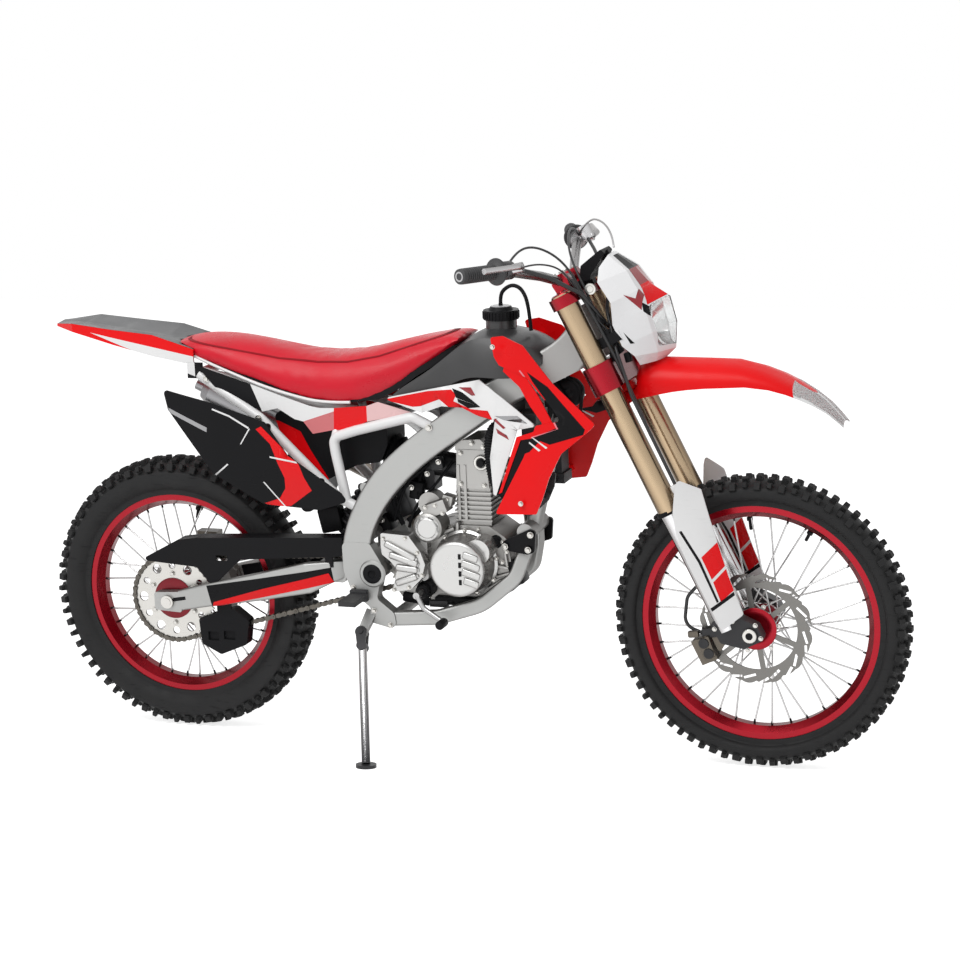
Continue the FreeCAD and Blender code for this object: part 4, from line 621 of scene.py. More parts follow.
def skin(node):
    """A joined-up copy of a node's surface, or of what stands for it in the table of skins."""
    if node not in skins:
        piece = shown(node, frame["nodes"][node].data.copy())
        piece.data.transform(frame["nodes"][node].matrix_world)
        worked(piece, merging(0.00001))
        skins[node] = piece.data
        bpy.data.objects.remove(piece)
    return shown(node, skins[node].copy())


def film(name, node, outlines, material, at=spot, side=-1, lift=0.35, facing=0.1, through=side_way,
         looking=None, slot=None):
    """Thin sheet on a node's outer face inside convex outlines drawn in one view, side on unless told."""
    pieces = []
    looking = looking or side_way * side
    for outline in outlines:
        piece = skin(node)
        corners = [at(a, 0, b) for a, b in outline]
        centre = sum(corners, Vector()) / len(corners)
        for polygon in piece.data.polygons:
            polygon.select = polygon.normal.dot(looking) < facing
        bpy.context.tool_settings.mesh_select_mode = (False, False, True)
        bpy.ops.object.mode_set(mode="EDIT")
        bpy.ops.mesh.delete(type="FACE")
        for a, b in zip(corners, corners[1:] + corners[:1]):
            away = (b - a).cross(through).normalized()
            if (centre - a).dot(away) > 0:
                away = -away
            bpy.ops.mesh.select_all(action="SELECT")
            bpy.ops.mesh.bisect(plane_co=a, plane_no=away, clear_outer=True)
        bpy.ops.mesh.select_all(action="SELECT")
        bpy.ops.transform.shrink_fatten(value=lift / 1000)
        bpy.ops.object.mode_set(mode="OBJECT")
        if len(piece.data.polygons):
            pieces.append(piece)
        else:
            bpy.data.objects.remove(piece)
    settle(joined(pieces), name, material, "chassis" if at is spot else "steering")


def films(name, node, outlines, material, **more):
    """The same film on both sides."""
    for side, side_name in sides:
        film(name + "_" + side_name, node, outlines, material, side=side, **more)


film_black = finish("black film", (0.006, 0.006, 0.007), 0.3, shine=0.1, slot="black_plastic", tone=0.15,
                    grain_scale=60.0, grain_depth=0.03)
film_red = finish("red film", (0.80, 0.004, 0.007), 0.24, coat=0.03, shine=0.2, slot="red_plastic",
                  tone=0.05, grain_scale=60.0, grain_depth=0.03)
film_white = finish("white film", (0.82, 0.82, 0.82), 0.24, coat=0.15, slot="white_plastic", tone=0.03,
                    grain_scale=60.0, grain_depth=0.03)
film_grey = finish("grey film", (0.36, 0.36, 0.37), 0.24, coat=0.15, slot="alloy", tone=0.05,
                   grain_scale=60.0, grain_depth=0.03)
film_dark_red = finish("dark red film", (0.30, 0.006, 0.014), 0.22, coat=0.15, slot="red_plastic", tone=0.05,
                       grain_depth=0.03)
films("arm_black", "swingarm", [[(-618, 390), (-290, 450), (-284, 414), (-605, 337)]], film_black,
      facing=0.3)
films("arm_red", "swingarm", [[(-605, 337), (-284, 414), (-296, 436), (-470, 390), (-600, 350)]], film_red,
      facing=0.3, lift=0.7)

# Wheels
# Red anodised rims laced to dark red hubs with steel spokes and black nipples; wave discs of ground steel.
# The tyres are moulded black rubber: a carcass with rows of square knobs, each with softened edges.
# edge=0.68 gives the rims and clamps a wider painted rim shade, darker towards their sides.
red_anodised = finish("red anodised", (0.40, 0.004, 0.016), 0.27, 0.72, 0.12, edge=0.68, slot="red_alloy",
                      tone=0.06, grain_depth=0.05)
dark_anodised = finish("dark red anodised", (0.20, 0.006, 0.014), 0.3, 0.7, 0.2, slot="dark_red_alloy",
                       tone=0.1)
ground_steel = finish("ground steel", (0.20, 0.195, 0.185), 0.36, 0.9, tone=0.08, grain_scale=500.0,
                      grain_depth=0.3)
spoke_steel = finish("spoke steel", (0.62, 0.62, 0.62), 0.28, 1.0, tone=0.08)
tyre_rubber = finish("tyre rubber", (0.012, 0.012, 0.0125), 0.62, shine=0.28, slot="rubber", tone=0.3,
                     patch_scale=24.0, grain_scale=1100.0, grain_depth=0.45, marks=0.2)
dress(red_anodised, "front_rim", "rear_rim")
dress(dark_anodised, "front_hub", "rear_hub")
dress(spoke_steel, "front_spokes", "rear_spokes")
dress(ground_steel, "front_disc", "rear_disc")
dress(bright_steel, "front_axle")
front_bead = 266.7
rear_bead = 241.3
spoke_count = 36
block_softening = softening(0.0011)


def round_wheel(piece, count):
    """Repeats a piece made at the wheel's top evenly round its axle."""
    return worked(piece, repeating(count, (0, 1, 0)))


def rubber_block(length, width, height, narrow, tilt, at, angle):
    """A tapered block with soft edges, tilted about its length and swung round the wheel by an angle."""
    alone()
    bpy.ops.mesh.primitive_cube_add(size=1)
    piece = bpy.context.active_object
    for vertex in piece.data.vertices:
        share = narrow if vertex.co.z > 0 else 1.0
        x, y, z = vertex.co
        vertex.co = Vector((x * length * share, y * width * share, z * height)) / 1000
    worked(piece, block_softening)
    placed = Matrix.Translation(Vector(at) / 1000) @ Matrix.Rotation(tilt, 4, "X")
    piece.data.transform(Matrix.Rotation(angle, 4, "Y") @ placed)
    return piece


def knob(y, length, width, height, crown, radius, angle, splay):
    """One tread block standing on the crown."""
    tilt = math.asin(y / crown) + math.radians(splay)
    tread_radius = radius - crown + math.sqrt(crown ** 2 - y ** 2)
    out = Vector((0, math.sin(tilt), math.cos(tilt)))
    base = Vector((0, y, tread_radius)) - out * (height * 0.5)
    return rubber_block(length, width, height, 0.84, -tilt, base, angle)


def side_lug(y, radius, length, tall, angle):
    """A block that runs down the shoulder of the tyre beside its tread."""
    proud = 9
    tilt = -math.copysign(math.radians(68), y)
    return rubber_block(length, tall, proud, 0.86, tilt, (0, y, radius), angle)


def tyre(end, centre, radius, width, crown, bead, rim_width, rows, pitches):
    """Carcass and knobs of one tyre; rows hold (share of the pitch, y, length, width, height, splay)."""
    lip = bead + 15.8
    half = width / 2
    seat = rim_width / 2
    tread_floor = radius - 12.5
    wall = radius - 40 - lip

    def crown_at(y):
        """How far out the tread's floor lies at a distance from the middle."""
        return tread_floor - crown + math.sqrt(crown ** 2 - y ** 2)

    side = [(seat - 6.2, bead + 0.6), (seat - 6.2, lip), (seat + 0.6, lip), (seat + 0.6, lip - 7),
            (seat + 3.0, lip - 6.5), (seat + 3.5, lip + 3.2), (seat + 4.0, lip + 6), (seat + 6, lip + 8),
            (half - 5.5, lip + 0.42 * wall), (half - 2.2, lip + 0.72 * wall), (half - 1.4, radius - 42),
            (half - 1.6, radius - 36), (half - 3.2, (radius - 36 + crown_at(half - 7)) / 2),
            (half - 6, crown_at(half - 7) - 1.0)]
    across = [(half - 8) * (1 - i / 4) for i in range(9)]
    profile = side + [(y, crown_at(y)) for y in across] + [(-y, r) for y, r in reversed(side)]
    ring = [(i, (i + 1) % len(profile)) for i in range(len(profile))]
    carcass = drawn(end + "_carcass", [(0, y / 1000, r / 1000) for y, r in profile], ring)
    worked(carcass, spinning(120, (0, 1, 0)), merging(0.00001), face_out)
    step = 2 * math.pi / pitches
    knobs = [knob(y, length, wide, height, crown, radius, share * step, splay)
             for share, y, length, wide, height, splay in rows]
    for share, length, tall, drop in ((0.02, 17, 19, 21), (0.52, 12, 14, 17)):
        knobs += [side_lug(s * (half - 4.5), radius - drop, length, tall, share * step) for s in (-1, 1)]
    tread = round_wheel(joined(knobs), pitches)
    for piece in (carcass, tread):
        piece.data.transform(Matrix.Translation(centre) @ upright.to_4x4())
    settle(carcass, end + "_tyre_carcass", tyre_rubber, end + "_wheel", angle=60)
    settle(tread, end + "_tyre_knobs", tyre_rubber, end + "_wheel", angle=30)
    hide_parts(end + "_tyre")


def mirrored(rows):
    """Rows of knobs on both sides; one on the middle stays single."""
    return [(share, s * y, *rest) for share, y, *rest in rows for s in ((-1, 1) if y else (1,))]


front_rows = mirrored([(0.0, 7.6, 15, 12, 15, 0), (0.5, 20, 15, 13, 15, 0), (0.02, 37, 17, 12, 19, 12),
                       (0.52, 38, 13, 10, 18, 14)])
rear_rows = mirrored([(0.0, 0, 15, 22, 15, 0), (0.02, 24, 15, 15, 15, 0), (0.5, 12, 14, 14, 15, 0),
                      (0.02, 47, 18, 14, 20, 10), (0.52, 45, 15, 15, 19, 8)])
tyre("front", front_axle, 345, 88, 62, front_bead, 51, front_rows, 36)
tyre("rear", rear_axle, 343, 110, 74, rear_bead, 66, rear_rows, 34)


def nipples(end, centre, bead):
    """Black nipples where the spokes enter the rim, alternately left and right of its middle."""
    pieces = []
    for i, side in ((0, 1), (1, -1)):
        angle = 2 * math.pi * (i + 0.5) / spoke_count
        alone()
        bpy.ops.mesh.primitive_cone_add(vertices=10, radius1=0.0022, radius2=0.0029, depth=0.009,
                                        location=(0, side * 0.0045, (bead - 23) / 1000))
        piece = bpy.context.active_object
        bpy.ops.object.transform_apply(location=True, rotation=False, scale=False)
        piece.data.transform(Matrix.Rotation(math.pi / 2 - angle, 4, "Y"))
        pieces.append(piece)
    ring = round_wheel(joined(pieces), spoke_count // 2)
    ring.data.transform(Matrix.Translation(centre) @ upright.to_4x4())
    settle(ring, end + "_nipples", black_satin, end + "_wheel")


nipples("front", front_axle, front_bead)
nipples("rear", rear_axle, rear_bead)


def stub(name, end, centre, bead, angle_deg, length):
    """A valve or a rim lock: a threaded stem with its nut, square through the rim."""
    a = math.radians(angle_deg)
    out = Vector((math.cos(a), 0, 0)) + up_way * math.sin(a)
    profile = [(0, length), (2.8, length), (4, length - 2), (4, 13), (7.2, 12), (7.2, 5), (4.5, 4),
               (4.5, -4)]
    lathe(name, profile, centre + out * ((bead - 18) / 1000), black_satin, -out, end + "_wheel", steps=16)


stub("front_valve", "front", front_axle, front_bead, 96, 34)
stub("front_rim_lock", "front", front_axle, front_bead, 62, 30)
stub("rear_valve", "rear", rear_axle, rear_bead, 78, 34)


def wheel_bolts(name, end, centre, y, radius, first, size, height):
    """Six bolts round a hub."""
    places = [centre + Vector((x / 1000, 0, 0)) + up_way * (z / 1000) + side_way * (y / 1000)
              for x, z in around(0, 0, radius, 6, first)]
    bolts(name, places, size, height, body=end + "_wheel")


lathe("front_hub_flange", [(12, 0), (12, 3), (30, 3), (32, 4.2), (46, 4.2), (49, 2.5), (49, 0)],
      front_axle - side_way * 0.0662, red_anodised, body="front_wheel", steps=64)
wheel_bolts("front_disc_bolts", "front", front_axle, -65.8, 55, 10, 4.2, 4)

# Rear sprocket and chain
# A steel sprocket bolted to the hub, and a roller chain of pressed plates on hardened pins.
# The links are the real count and pitch, laid on the loop round both sprockets.
sprocket_steel = finish("sprocket steel", (0.62, 0.61, 0.58), 0.30, 0.95, tone=0.08, grain_scale=800.0)
chain_steel = finish("chain steel", (0.13, 0.12, 0.105), 0.34, 0.9, slot="steel", tone=0.3, patch_scale=60.0,
                     marks=0.2)
dress(sprocket_steel, "rear_sprocket", "front_sprocket")
lathe("rear_hub_cover", [(12, 0), (12, 3.5), (47, 3.5), (51, 2), (51, 0)], rear_axle - side_way * 0.0768,
      dark_anodised, body="rear_wheel", steps=64)
wheel_bolts("sprocket_bolts", "rear", rear_axle, -76.5, 62, 30, 5.2, 6)
pitch = 15.875
links = 106
chain_y = -74
big = pitch / 2 / math.sin(math.pi / 42)
small = pitch / 2 / math.sin(math.pi / 13)
rear_x, rear_z = -726.058, 343.556
front_x, front_z = -116.496, 446.0
gap = math.hypot(front_x - rear_x, front_z - rear_z)
chain_rise = math.atan2(front_z - rear_z, front_x - rear_x)
wrap = math.asin((big - small) / gap)
straight = gap * math.cos(wrap)
up_angle = chain_rise + math.pi / 2 - wrap
down_angle = chain_rise - math.pi / 2 + wrap
front_arc = small * (math.pi - 2 * wrap)


def on_arc(x, z, radius, angle, run=0.0):
    """A place on a circle, or that far off it along its tangent."""
    return (x + radius * math.cos(angle) + math.sin(angle) * run,
            z + radius * math.sin(angle) - math.cos(angle) * run)


def on_loop(run):
    """A place on the pitch line at a length along it, as x and z."""
    if run < straight:
        return on_arc(rear_x, rear_z, big, up_angle, run)
    run -= straight
    if run < front_arc:
        return on_arc(front_x, front_z, small, up_angle - run / small)
    run -= front_arc
    if run < straight:
        return on_arc(front_x, front_z, small, down_angle, run)
    return on_arc(rear_x, rear_z, big, down_angle - (run - straight) / big)


def link_plate(y, thickness, half_height):
    """A waisted plate from one pin to the next."""
    alone()
    bpy.ops.mesh.primitive_circle_add(vertices=14, radius=half_height / 1000, fill_type="NGON",
                                      rotation=(math.pi / 2, 0, 0))
    piece = bpy.context.active_object
    bpy.ops.object.transform_apply(location=False, rotation=True, scale=False)
    for vertex in piece.data.vertices:
        vertex.co.z *= 1.0 if abs(vertex.co.x) > 0.0018 else 0.58
        if abs(vertex.co.x) > 0.0002:
            vertex.co.x += math.copysign(pitch / 2000, vertex.co.x)
    thicken = {"value": (0, thickness / 1000, 0)}
    worked(piece, lambda: bpy.ops.mesh.extrude_region_move(TRANSFORM_OT_translate=thicken), face_out)
    piece.data.transform(Matrix.Translation((0, y / 1000, 0)))
    return piece


def pin(radius, half_length, corners):
    """A pin or roller across the chain at a link's first hole."""
    alone()
    bpy.ops.mesh.primitive_cylinder_add(vertices=corners, radius=radius / 1000, depth=half_length / 500,
                                        rotation=(math.pi / 2, 0, 0), location=(-pitch / 2000, 0, 0))
    bpy.ops.object.transform_apply(location=True, rotation=True, scale=False)
    return bpy.context.active_object


kinds = [joined([link_plate(-6.4, 1.5, 6.6), link_plate(4.9, 1.5, 6.6), pin(2.2, 7.4, 8)]),
         joined([link_plate(-4.7, 1.4, 6.9), link_plate(3.3, 1.4, 6.9), pin(4.6, 3.2, 10)])]
pins = [spot(x, chain_y, z) for x, z in (on_loop(i * pitch) for i in range(links))]
link_pieces = []
for i, (start, end) in enumerate(zip(pins, pins[1:] + pins[:1])):
    along = (end - start).normalized()
    link = shown("link", kinds[i % 2].data.copy())
    axes = Matrix((along, side_way, along.cross(side_way))).transposed().to_4x4()
    link.data.transform(Matrix.Translation((start + end) / 2) @ axes)
    link_pieces.append(link)
for kind in kinds:
    bpy.data.objects.remove(kind)
chain = settle(joined(link_pieces), "chain_links", chain_steel, angle=30)
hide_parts("chain")

# Chain guards and brakes
# Black moulded guards on the swingarm; sliding brake calipers in bronze-grey anodised casting.
# Each caliper is held by two bolts and has its pad pin showing on the outside.
dress(matt_black, "chain_guards")
caliper_bronze = finish("caliper bronze", (0.15, 0.13, 0.105), 0.42, 0.6, slot="alloy", tone=0.15,
                        grain_scale=600.0, grain_depth=0.3)
dress(caliper_bronze, "front_caliper", "rear_caliper")
block("shell_a", (-58, -69, -696), (40, 44, 64), 7, caliper_bronze, fork_spot, 6)
block("shell_b", (-50, -93, -692), (30, 8, 50), 3.5, caliper_bronze, fork_spot, 6)
block("shell_c", (-20, -86, -668), (58, 9, 22), 4, dark_cast, fork_spot, 18)
block("shell_d", (-64, -90, -652), (26, 14, 16), 4, caliper_bronze, fork_spot, 20)
caps = [turned([(0, 2), (7, 2), (9, 3.2), (11.5, 3.2), (12.5, 0)], fork_spot(-50, -96.8, t), near_way, 24)
        for t in (-680, -706)]
settle(joined(caps), "caliper_caps", dark_cast, "steering")

# Fork
# Champagne gold outer tubes over hard-chromed inner ones, with black cast feet that clamp the axle.
# White guards are screwed to the feet and carry printed film; clips hold the brake hose to the near one.
# The high edge values give the tubes a strong painted rim shade: darker at their sides, as if they reflected
# dark surroundings.
gold_tube = finish("champagne gold", (0.52, 0.39, 0.25), 0.22, 0.88, edge=0.76, tone=0.04,
                   grain_scale=1200.0, grain_depth=0.03, marks=0.0)
chrome = finish("hard chrome", (0.75, 0.75, 0.76), 0.12, 1.0, edge=0.74, tone=0.03)
guard_white = finish("guard white", (0.82, 0.82, 0.82), 0.36, coat=0.2, slot="white_plastic", tone=0.03,
                     marks=0.12)
dress(gold_tube, "fork_tubes")
dress(dark_cast, "fork_lowers")
dress(guard_white, "fork_guards")
red_blocks = [[(51, -493), (98, -477), (96, -530), (50, -548)],
              [(50, -555), (95, -537), (86, -590), (46, -602)]]
far_red_block = [(48, -402), (95, -402), (97, -470), (52, -486)]
film("guard_red_near", "fork_guards", red_blocks, film_red, at=fork_spot, facing=0.2)
film("guard_red_far", "fork_guards", [far_red_block] + red_blocks, film_red, at=fork_spot, side=1,
     facing=0.2)
films("guard_black", "fork_guards",
      [[(32, -420), (38, -420), (46, -500), (40, -500)], [(40, -500), (46, -500), (42, -600), (37, -600)],
       [(18, -606), (80, -594), (79, -602), (18, -614)]], film_black, at=fork_spot, facing=0.2)
for i, (f, t, high) in enumerate(((64, -428, 20), (66, -330, 18), (68, -596, 18))):
    block("hose_clip_%d" % i, (f, -115, t), (26, 16, high), 3, guard_white, fork_spot)
leg_spread = 105
seal_profile = [(23.6, -6), (26.2, -6), (27.6, -3), (27.6, 4), (27.2, 4.5)]
seals = [turned(seal_profile, fork_spot(18, s * leg_spread, -372), steer_up) for s in (-1, 1)]
settle(joined(seals), "fork_seals", black_rubber, "steering")


def dress_where(node, material, test):
    """Gives the faces of a node that pass a test on their centre a second finish."""
    mesh = frame["nodes"][node].data
    mesh.materials.append(material)
    place = frame["nodes"][node].matrix_world
    for polygon in mesh.polygons:
        if test(place @ polygon.center):
            polygon.material_index = len(mesh.materials) - 1


def fork_reading(point):
    """Millimetres ahead, beside and up the steering head of a place."""
    run = (point - head_foot) * 1000
    return run.dot(steer_ahead), run.dot(side_way), run.dot(steer_up)


dress_where("fork_lowers", chrome, lambda p: fork_reading(p)[2] > -636)
foot_places = ((-2, -655), (44, -655), (88, -684), (86, -716))
bolts("foot_bolts", [fork_spot(f, -123.2, t) for f, t in foot_places], 4.2, 5, body="steering")
lathe("axle_ring", [(8.5, 1), (8.5, 3), (15, 3), (16.5, 1.5), (16.5, 0)], fork_spot(66, -128.2, -700.3),
      bright_steel, body="steering")
lathe("axle_hole", [(0, 1.2), (7.8, 1.2), (8.4, 0)], fork_spot(66, -129.2, -700.3), black_satin,
      body="steering", steps=32)

# Clamps, handlebar and controls
# Red anodised clamps milled from billet, a steel bar with a silver coat, and ribbed rubber grips.
# Dark perches carry polished lever blades; the cables are held, running over the bar to the engine.
lever_dark = finish("perch casting", (0.10, 0.10, 0.105), 0.36, 0.6, slot="black_plastic", tone=0.15,
                    grain_depth=0.3)
lever_silver = finish("lever silver", (0.66, 0.66, 0.67), 0.22, 0.9, slot="rubber", tone=0.05)
grip_rubber = finish("grip rubber", (0.035, 0.035, 0.037), 0.58, slot="rubber", tone=0.2, grain_scale=1400.0,
                     grain_depth=0.4)
dress(red_anodised, "triple_clamps")
dress(finish("bar silver", (0.60, 0.60, 0.61), 0.24, 0.9, tone=0.05), "handlebar")
dress(lever_silver, "hand_levers")
grip_profile = [(0, 0.5), (14.5, 0.5), (16.5, 2), (17, 6)]
for i in range(15):
    h = 9 + i * 6.6
    grip_profile += [(17.2, h), (17.2, h + 3.6), (15.2, h + 4.4), (15.2, h + 5.8)]
grip_profile += [(18, 110.5), (28.5, 114), (30, 116.5), (30, 119), (28.5, 121.5), (11.5, 122)]
bar_half_width = 404
perch_place = 0.149
grips = []
for s, side_name in sides:
    bar_end = fork_spot(-62, s * bar_half_width, 301)
    inward = fork_spot(-14, s * 275, 272) - bar_end
    grips.append(turned(grip_profile, bar_end, inward, 40))
    lathe("perch_band_" + side_name, [(19.5, -14), (20.5, -12), (20.5, 12), (19.5, 14)],
          bar_end + inward.normalized() * perch_place, lever_dark, inward, "steering", steps=32)
grip_pair = settle(joined(grips), "ribbed_grips", grip_rubber, "steering", angle=40)
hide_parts("grips")
mount_places = [fork_spot(f, s * 48 + d, 213.2) for s in (-1, 1) for d in (-7, 7) for f in (4, 24)]
bolts("mount_bolts", mount_places, 3.6, 5, steer_up, "steering")
cap_profile = [(0, 7), (10, 7), (11, 4), (21, 4), (24.5, 2.2), (25.5, 0)]
caps = [turned(cap_profile, fork_spot(22, s * leg_spread, 170), steer_up) for s in (-1, 1)]
settle(joined(caps), "fork_caps", red_anodised, "steering")
cable_black = finish("cable black", (0.014, 0.014, 0.015), 0.42, slot="rubber", tone=0.15)
dress(cable_black, "front_cables")
for name, radius, material, places in (
        ("clutch_cable", 2.6, cable_black, ((-6, -268, 276), (10, -215, 300), (34, -150, 292),
                                            (60, -104, 236), (66, -96, 150), (62, -84, 60), (58, -78, -20))),
        ("throttle_cable", 2.6, cable_black, ((-2, 262, 276), (20, 190, 300), (44, 60, 292), (62, -60, 236),
                                              (70, -84, 150), (66, -88, 60), (70, -84, -10))),
        ("switch_wire", 2.0, cable_black, ((0, -258, 262), (14, -190, 262), (40, -120, 236), (54, -104, 200),
                                           (60, -100, 120), (72, -92, 60), (84, -84, 30))),
        ("loom_run", 4.2, cable_black, ((60, -104, 190), (64, -100, 100), (66, -98, 0), (66, -100, -80),
                                        (64, -112, -200))),
        ("far_brake_wire", 2.2, lever_silver, ((-2, 262, 280), (60, 190, 300), (120, 90, 280),
                                               (150, 20, 240), (146, 0, 212)))):
    swept(name, [fork_spot(*place) for place in places], radius, material, "steering")
plugs = ((70, -88, 40, 30), (66, -78, 80, 24), (60, -86, -6, 22), (74, -74, 6, 26), (84, -70, -22, 22))
for i, (f, y, t, high) in enumerate(plugs):
    block("plug_%d" % i, (f, y, t), (14, 16, high), 2, matt_black, fork_spot, 12 * (-1) ** i)

# Headlight mask
# A folded white shell with a red brow, sharp facets and a clear lens before a bright reflector.
# It hangs on the fork legs and on the black display bracket, held by a large bolt on each side.
dress(finish("mask white", (0.83, 0.83, 0.84), 0.28, coat=0.35, tone=0.02), "headlight_mask")
dress(matt_black, "instrument")
glass = bpy.data.materials.new("clear lens")
glass.use_nodes = True
glass_shader = glass.node_tree.nodes["Principled BSDF"]
glass_shader.inputs["Base Color"].default_value = (0.97, 0.98, 0.98, 1)
glass_shader.inputs["Roughness"].default_value = 0.03
glass_shader.inputs["Transmission Weight"].default_value = 0.92
glass_shader.inputs["IOR"].default_value = 1.46
dress(glass, "headlamp_lens")
dress(finish("reflector", (0.80, 0.80, 0.80), 0.12, 0.95, tone=0.02), "headlamp_bowl")


def front_view(y, _, t):
    """A place as the front of the machine shows it, across and up the steering head."""
    return fork_spot(0, y, t)


for name, outline, material in (("brow_red", [(-42, 110), (-57, 64), (57, 64), (42, 110)], film_red),
                                ("brow_edge", [(-37, 152), (-42, 110), (42, 110), (37, 152)], film_dark_red),
                                ("brow_dark", [(-20, 196), (-37, 152), (37, 152), (20, 196)], film_black)):
    film(name, "headlight_mask", [outline], material, at=front_view, through=steer_ahead,
         looking=steer_ahead)
films("mask_arrow", "headlight_mask",
      [[(141, 108), (160, 88), (161, 59)], [(160, 88), (173, 104), (176, 86), (161, 59)]], film_dark_red,
      at=fork_spot)
films("mask_mark", "headlight_mask", [[(168, 75), (178, 55), (170, 38), (163, 55)]], film_black,
      at=fork_spot)
films("mask_slit", "headlight_mask", [[(107, 33), (117, 0), (109, 3)]], film_black, at=fork_spot)
mask_bolt = [(0, 6), (7, 6), (8, 4.5), (12.5, 4), (13, 0)]
mask_bolts = [turned(mask_bolt, fork_spot(84, s * 92, 152), side_way * s, 32) for s in (-1, 1)]
settle(joined(mask_bolts), "mask_bolts", bright_steel, "steering")


def on_mask_bracket(place):
    """Whether a place lies on the dark bracket behind the mask."""
    f, _, t = fork_reading(place)
    return 14 < t < 50 and f < 96


dress_where("headlight_mask", black_satin, on_mask_bracket)

# Front mudguard
# Injection-moulded red plastic, arched across, with a white lower edge and tip.
# It is bolted up under the lower clamp.
red_plastic = finish("red plastic", (0.84, 0.003, 0.005), 0.34, coat=0.02, shine=0.2, slot="red_plastic",
                     tone=0.03, grain_scale=300.0, grain_depth=0.04, marks=0.08)
dress(red_plastic, "front_fender")
fender_rows = [(4, -92, -108, 42), (48, -94, -116, 52), (60, -84, -118, 57), (70, -62, -120, 60),
               (90, -47, -124, 62), (116, -50, -130, 64), (140, -62, -136, 66), (172, -78, -146, 67),
               (210, -97, -160, 68), (250, -117, -177, 68), (293, -139, -195, 68), (338, -176, -223, 66),
               (368, -207, -249, 63), (394, -240, -277, 58), (414, -272, -302, 52), (430, -305, -327, 46),
               (440, -336, -350, 40), (447, -362, -370, 34)]


def sheet(rows, across, place_of):
    """A grid with its lines put on the given rows; place_of takes a row and the share of its half width."""
    alone()
    bpy.ops.mesh.primitive_grid_add(x_subdivisions=len(rows) - 1, y_subdivisions=across, size=2)
    piece = bpy.context.active_object
    for vertex in piece.data.vertices:
        row = rows[round((vertex.co.x + 1) / 2 * (len(rows) - 1))]
        vertex.co = place_of(row, vertex.co.y)
    return piece


def thickened(piece, thickness, offset):
    """A wall grown on a sheet."""
    alone(piece)
    bpy.ops.object.modifier_add(type="SOLIDIFY")
    piece.modifiers["Solidify"].thickness = thickness
    piece.modifiers["Solidify"].offset = offset
    bpy.ops.object.modifier_apply(modifier="Solidify")
    return piece


def fender_place(row, share):
    """An arched section with a low ridge along its crown."""
    f, crown, edge, half = row
    turn_at = share * math.pi / 2
    arch = max(0.0, math.cos(turn_at)) ** 0.85
    ridge = 2.6 * max(0.0, 1 - abs(share) / 0.22)
    return fork_spot(f, half * math.sin(turn_at), edge + (crown - edge) * arch + ridge)


mudguard = worked(sheet(fender_rows, 28, fender_place), face_out)
if sum(polygon.normal.dot(steer_up) for polygon in mudguard.data.polygons) < 0:
    mudguard.data.flip_normals()
thickened(mudguard, 0.003, -1)
skins["front_fender"] = mudguard.data.copy()
settle(mudguard, "front_mudguard", red_plastic, "steering", angle=50)
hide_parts("front_fender")
block("fender_boss", (27, 0, -83), (44, 38, 20), 3, red_plastic, fork_spot)
tip = [[(372, -300), (388, -232), (440, -312), (460, -380), (440, -376)]]
films("fender_tip", "front_fender", tip, film_white, at=fork_spot, facing=0.03)
film("fender_tip_top", "front_fender", tip, film_white, at=fork_spot, facing=0.25,
     looking=(steer_up + steer_ahead).normalized())

# Rear mudguard
# An inverted trough rising to its tip: dark grey on top, red down its sides and white below.
# It is screwed to the ends of the seat rails.
tail_grey = finish("tail grey", (0.075, 0.077, 0.08), 0.42, coat=0.15, slot="black_plastic", tone=0.08)
dress(red_plastic, "rear_fender")
rail_end = spot(-655, 0, 946)
dress_where("rear_fender", black_satin, lambda p: p.x > rail_end.x and (p - rail_end).dot(up_way) < 0)
film("tail_top", "rear_fender", [[(-1012, 1016), (-1012, 1040), (-620, 1000), (-620, 900), (-840, 940)]],
     tail_grey, looking=up_way, facing=0.6)
films("tail_under", "rear_fender", [[(-905, 1001), (-620, 948), (-620, 900), (-760, 950)]], film_white)

# Tank
# Rotomoulded dark grey plastic over the spars, with a ribbed cap and a breather hose that loops forward.
# The cap screws onto the neck; its hose runs down beside the steering head.
dress(finish("tank grey", (0.035, 0.035, 0.036), 0.38, coat=0.1, tone=0.06, grain_scale=350.0,
             grain_depth=0.12),
      "fuel_tank")
dress(black_satin, "tank_cap")
cap_rib_count = 32
alone()
bpy.ops.mesh.primitive_cube_add(size=1)
ribs = bpy.context.active_object
ribs.scale = (0.0032, 0.0030, 0.017)
bpy.ops.object.transform_apply(location=False, rotation=False, scale=True)
worked(ribs, softening(0.0008))
ribs.data.transform(Matrix.Translation((0.0415, 0, 0)))
worked(ribs, repeating(cap_rib_count, (0, 0, 1)))
ribs.data.transform(Matrix.Translation(spot(124, 0, 1045)) @ upright.to_4x4())
settle(ribs, "cap_ribs", black_satin)
lathe("cap_top", [(0, 1.2), (20.5, 1.2), (22.5, 0)], spot(124, 0, 1064.2), film_grey, up_way)
breather_places = ((124, 0, 1070), (124, 0, 1090), (138, -6, 1106), (160, -12, 1116), (184, -18, 1106),
                   (200, -24, 1070), (204, -26, 1012))
breather = swept("breather", [spot(*place) for place in breather_places], 4.5, black_rubber)
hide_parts("vent_hose")

# Seat
# A foam saddle under stretched red vinyl, stapled to a base whose white edge shows along the bottom.
# The foam is slimmer at the tail and swells over the middle, where the cover is softly crowned.
vinyl = finish("red vinyl", (0.62, 0.004, 0.020), 0.34, coat=0.03, shine=0.32, slot="seat_cover", tone=0.05,
               patch_scale=12.0, grain_scale=1500.0, grain_depth=0.5, marks=0.05)
seam_red = finish("seam red", (0.26, 0.002, 0.008), 0.5, shine=0.2, slot="seat_cover")
dress(vinyl, "seat")


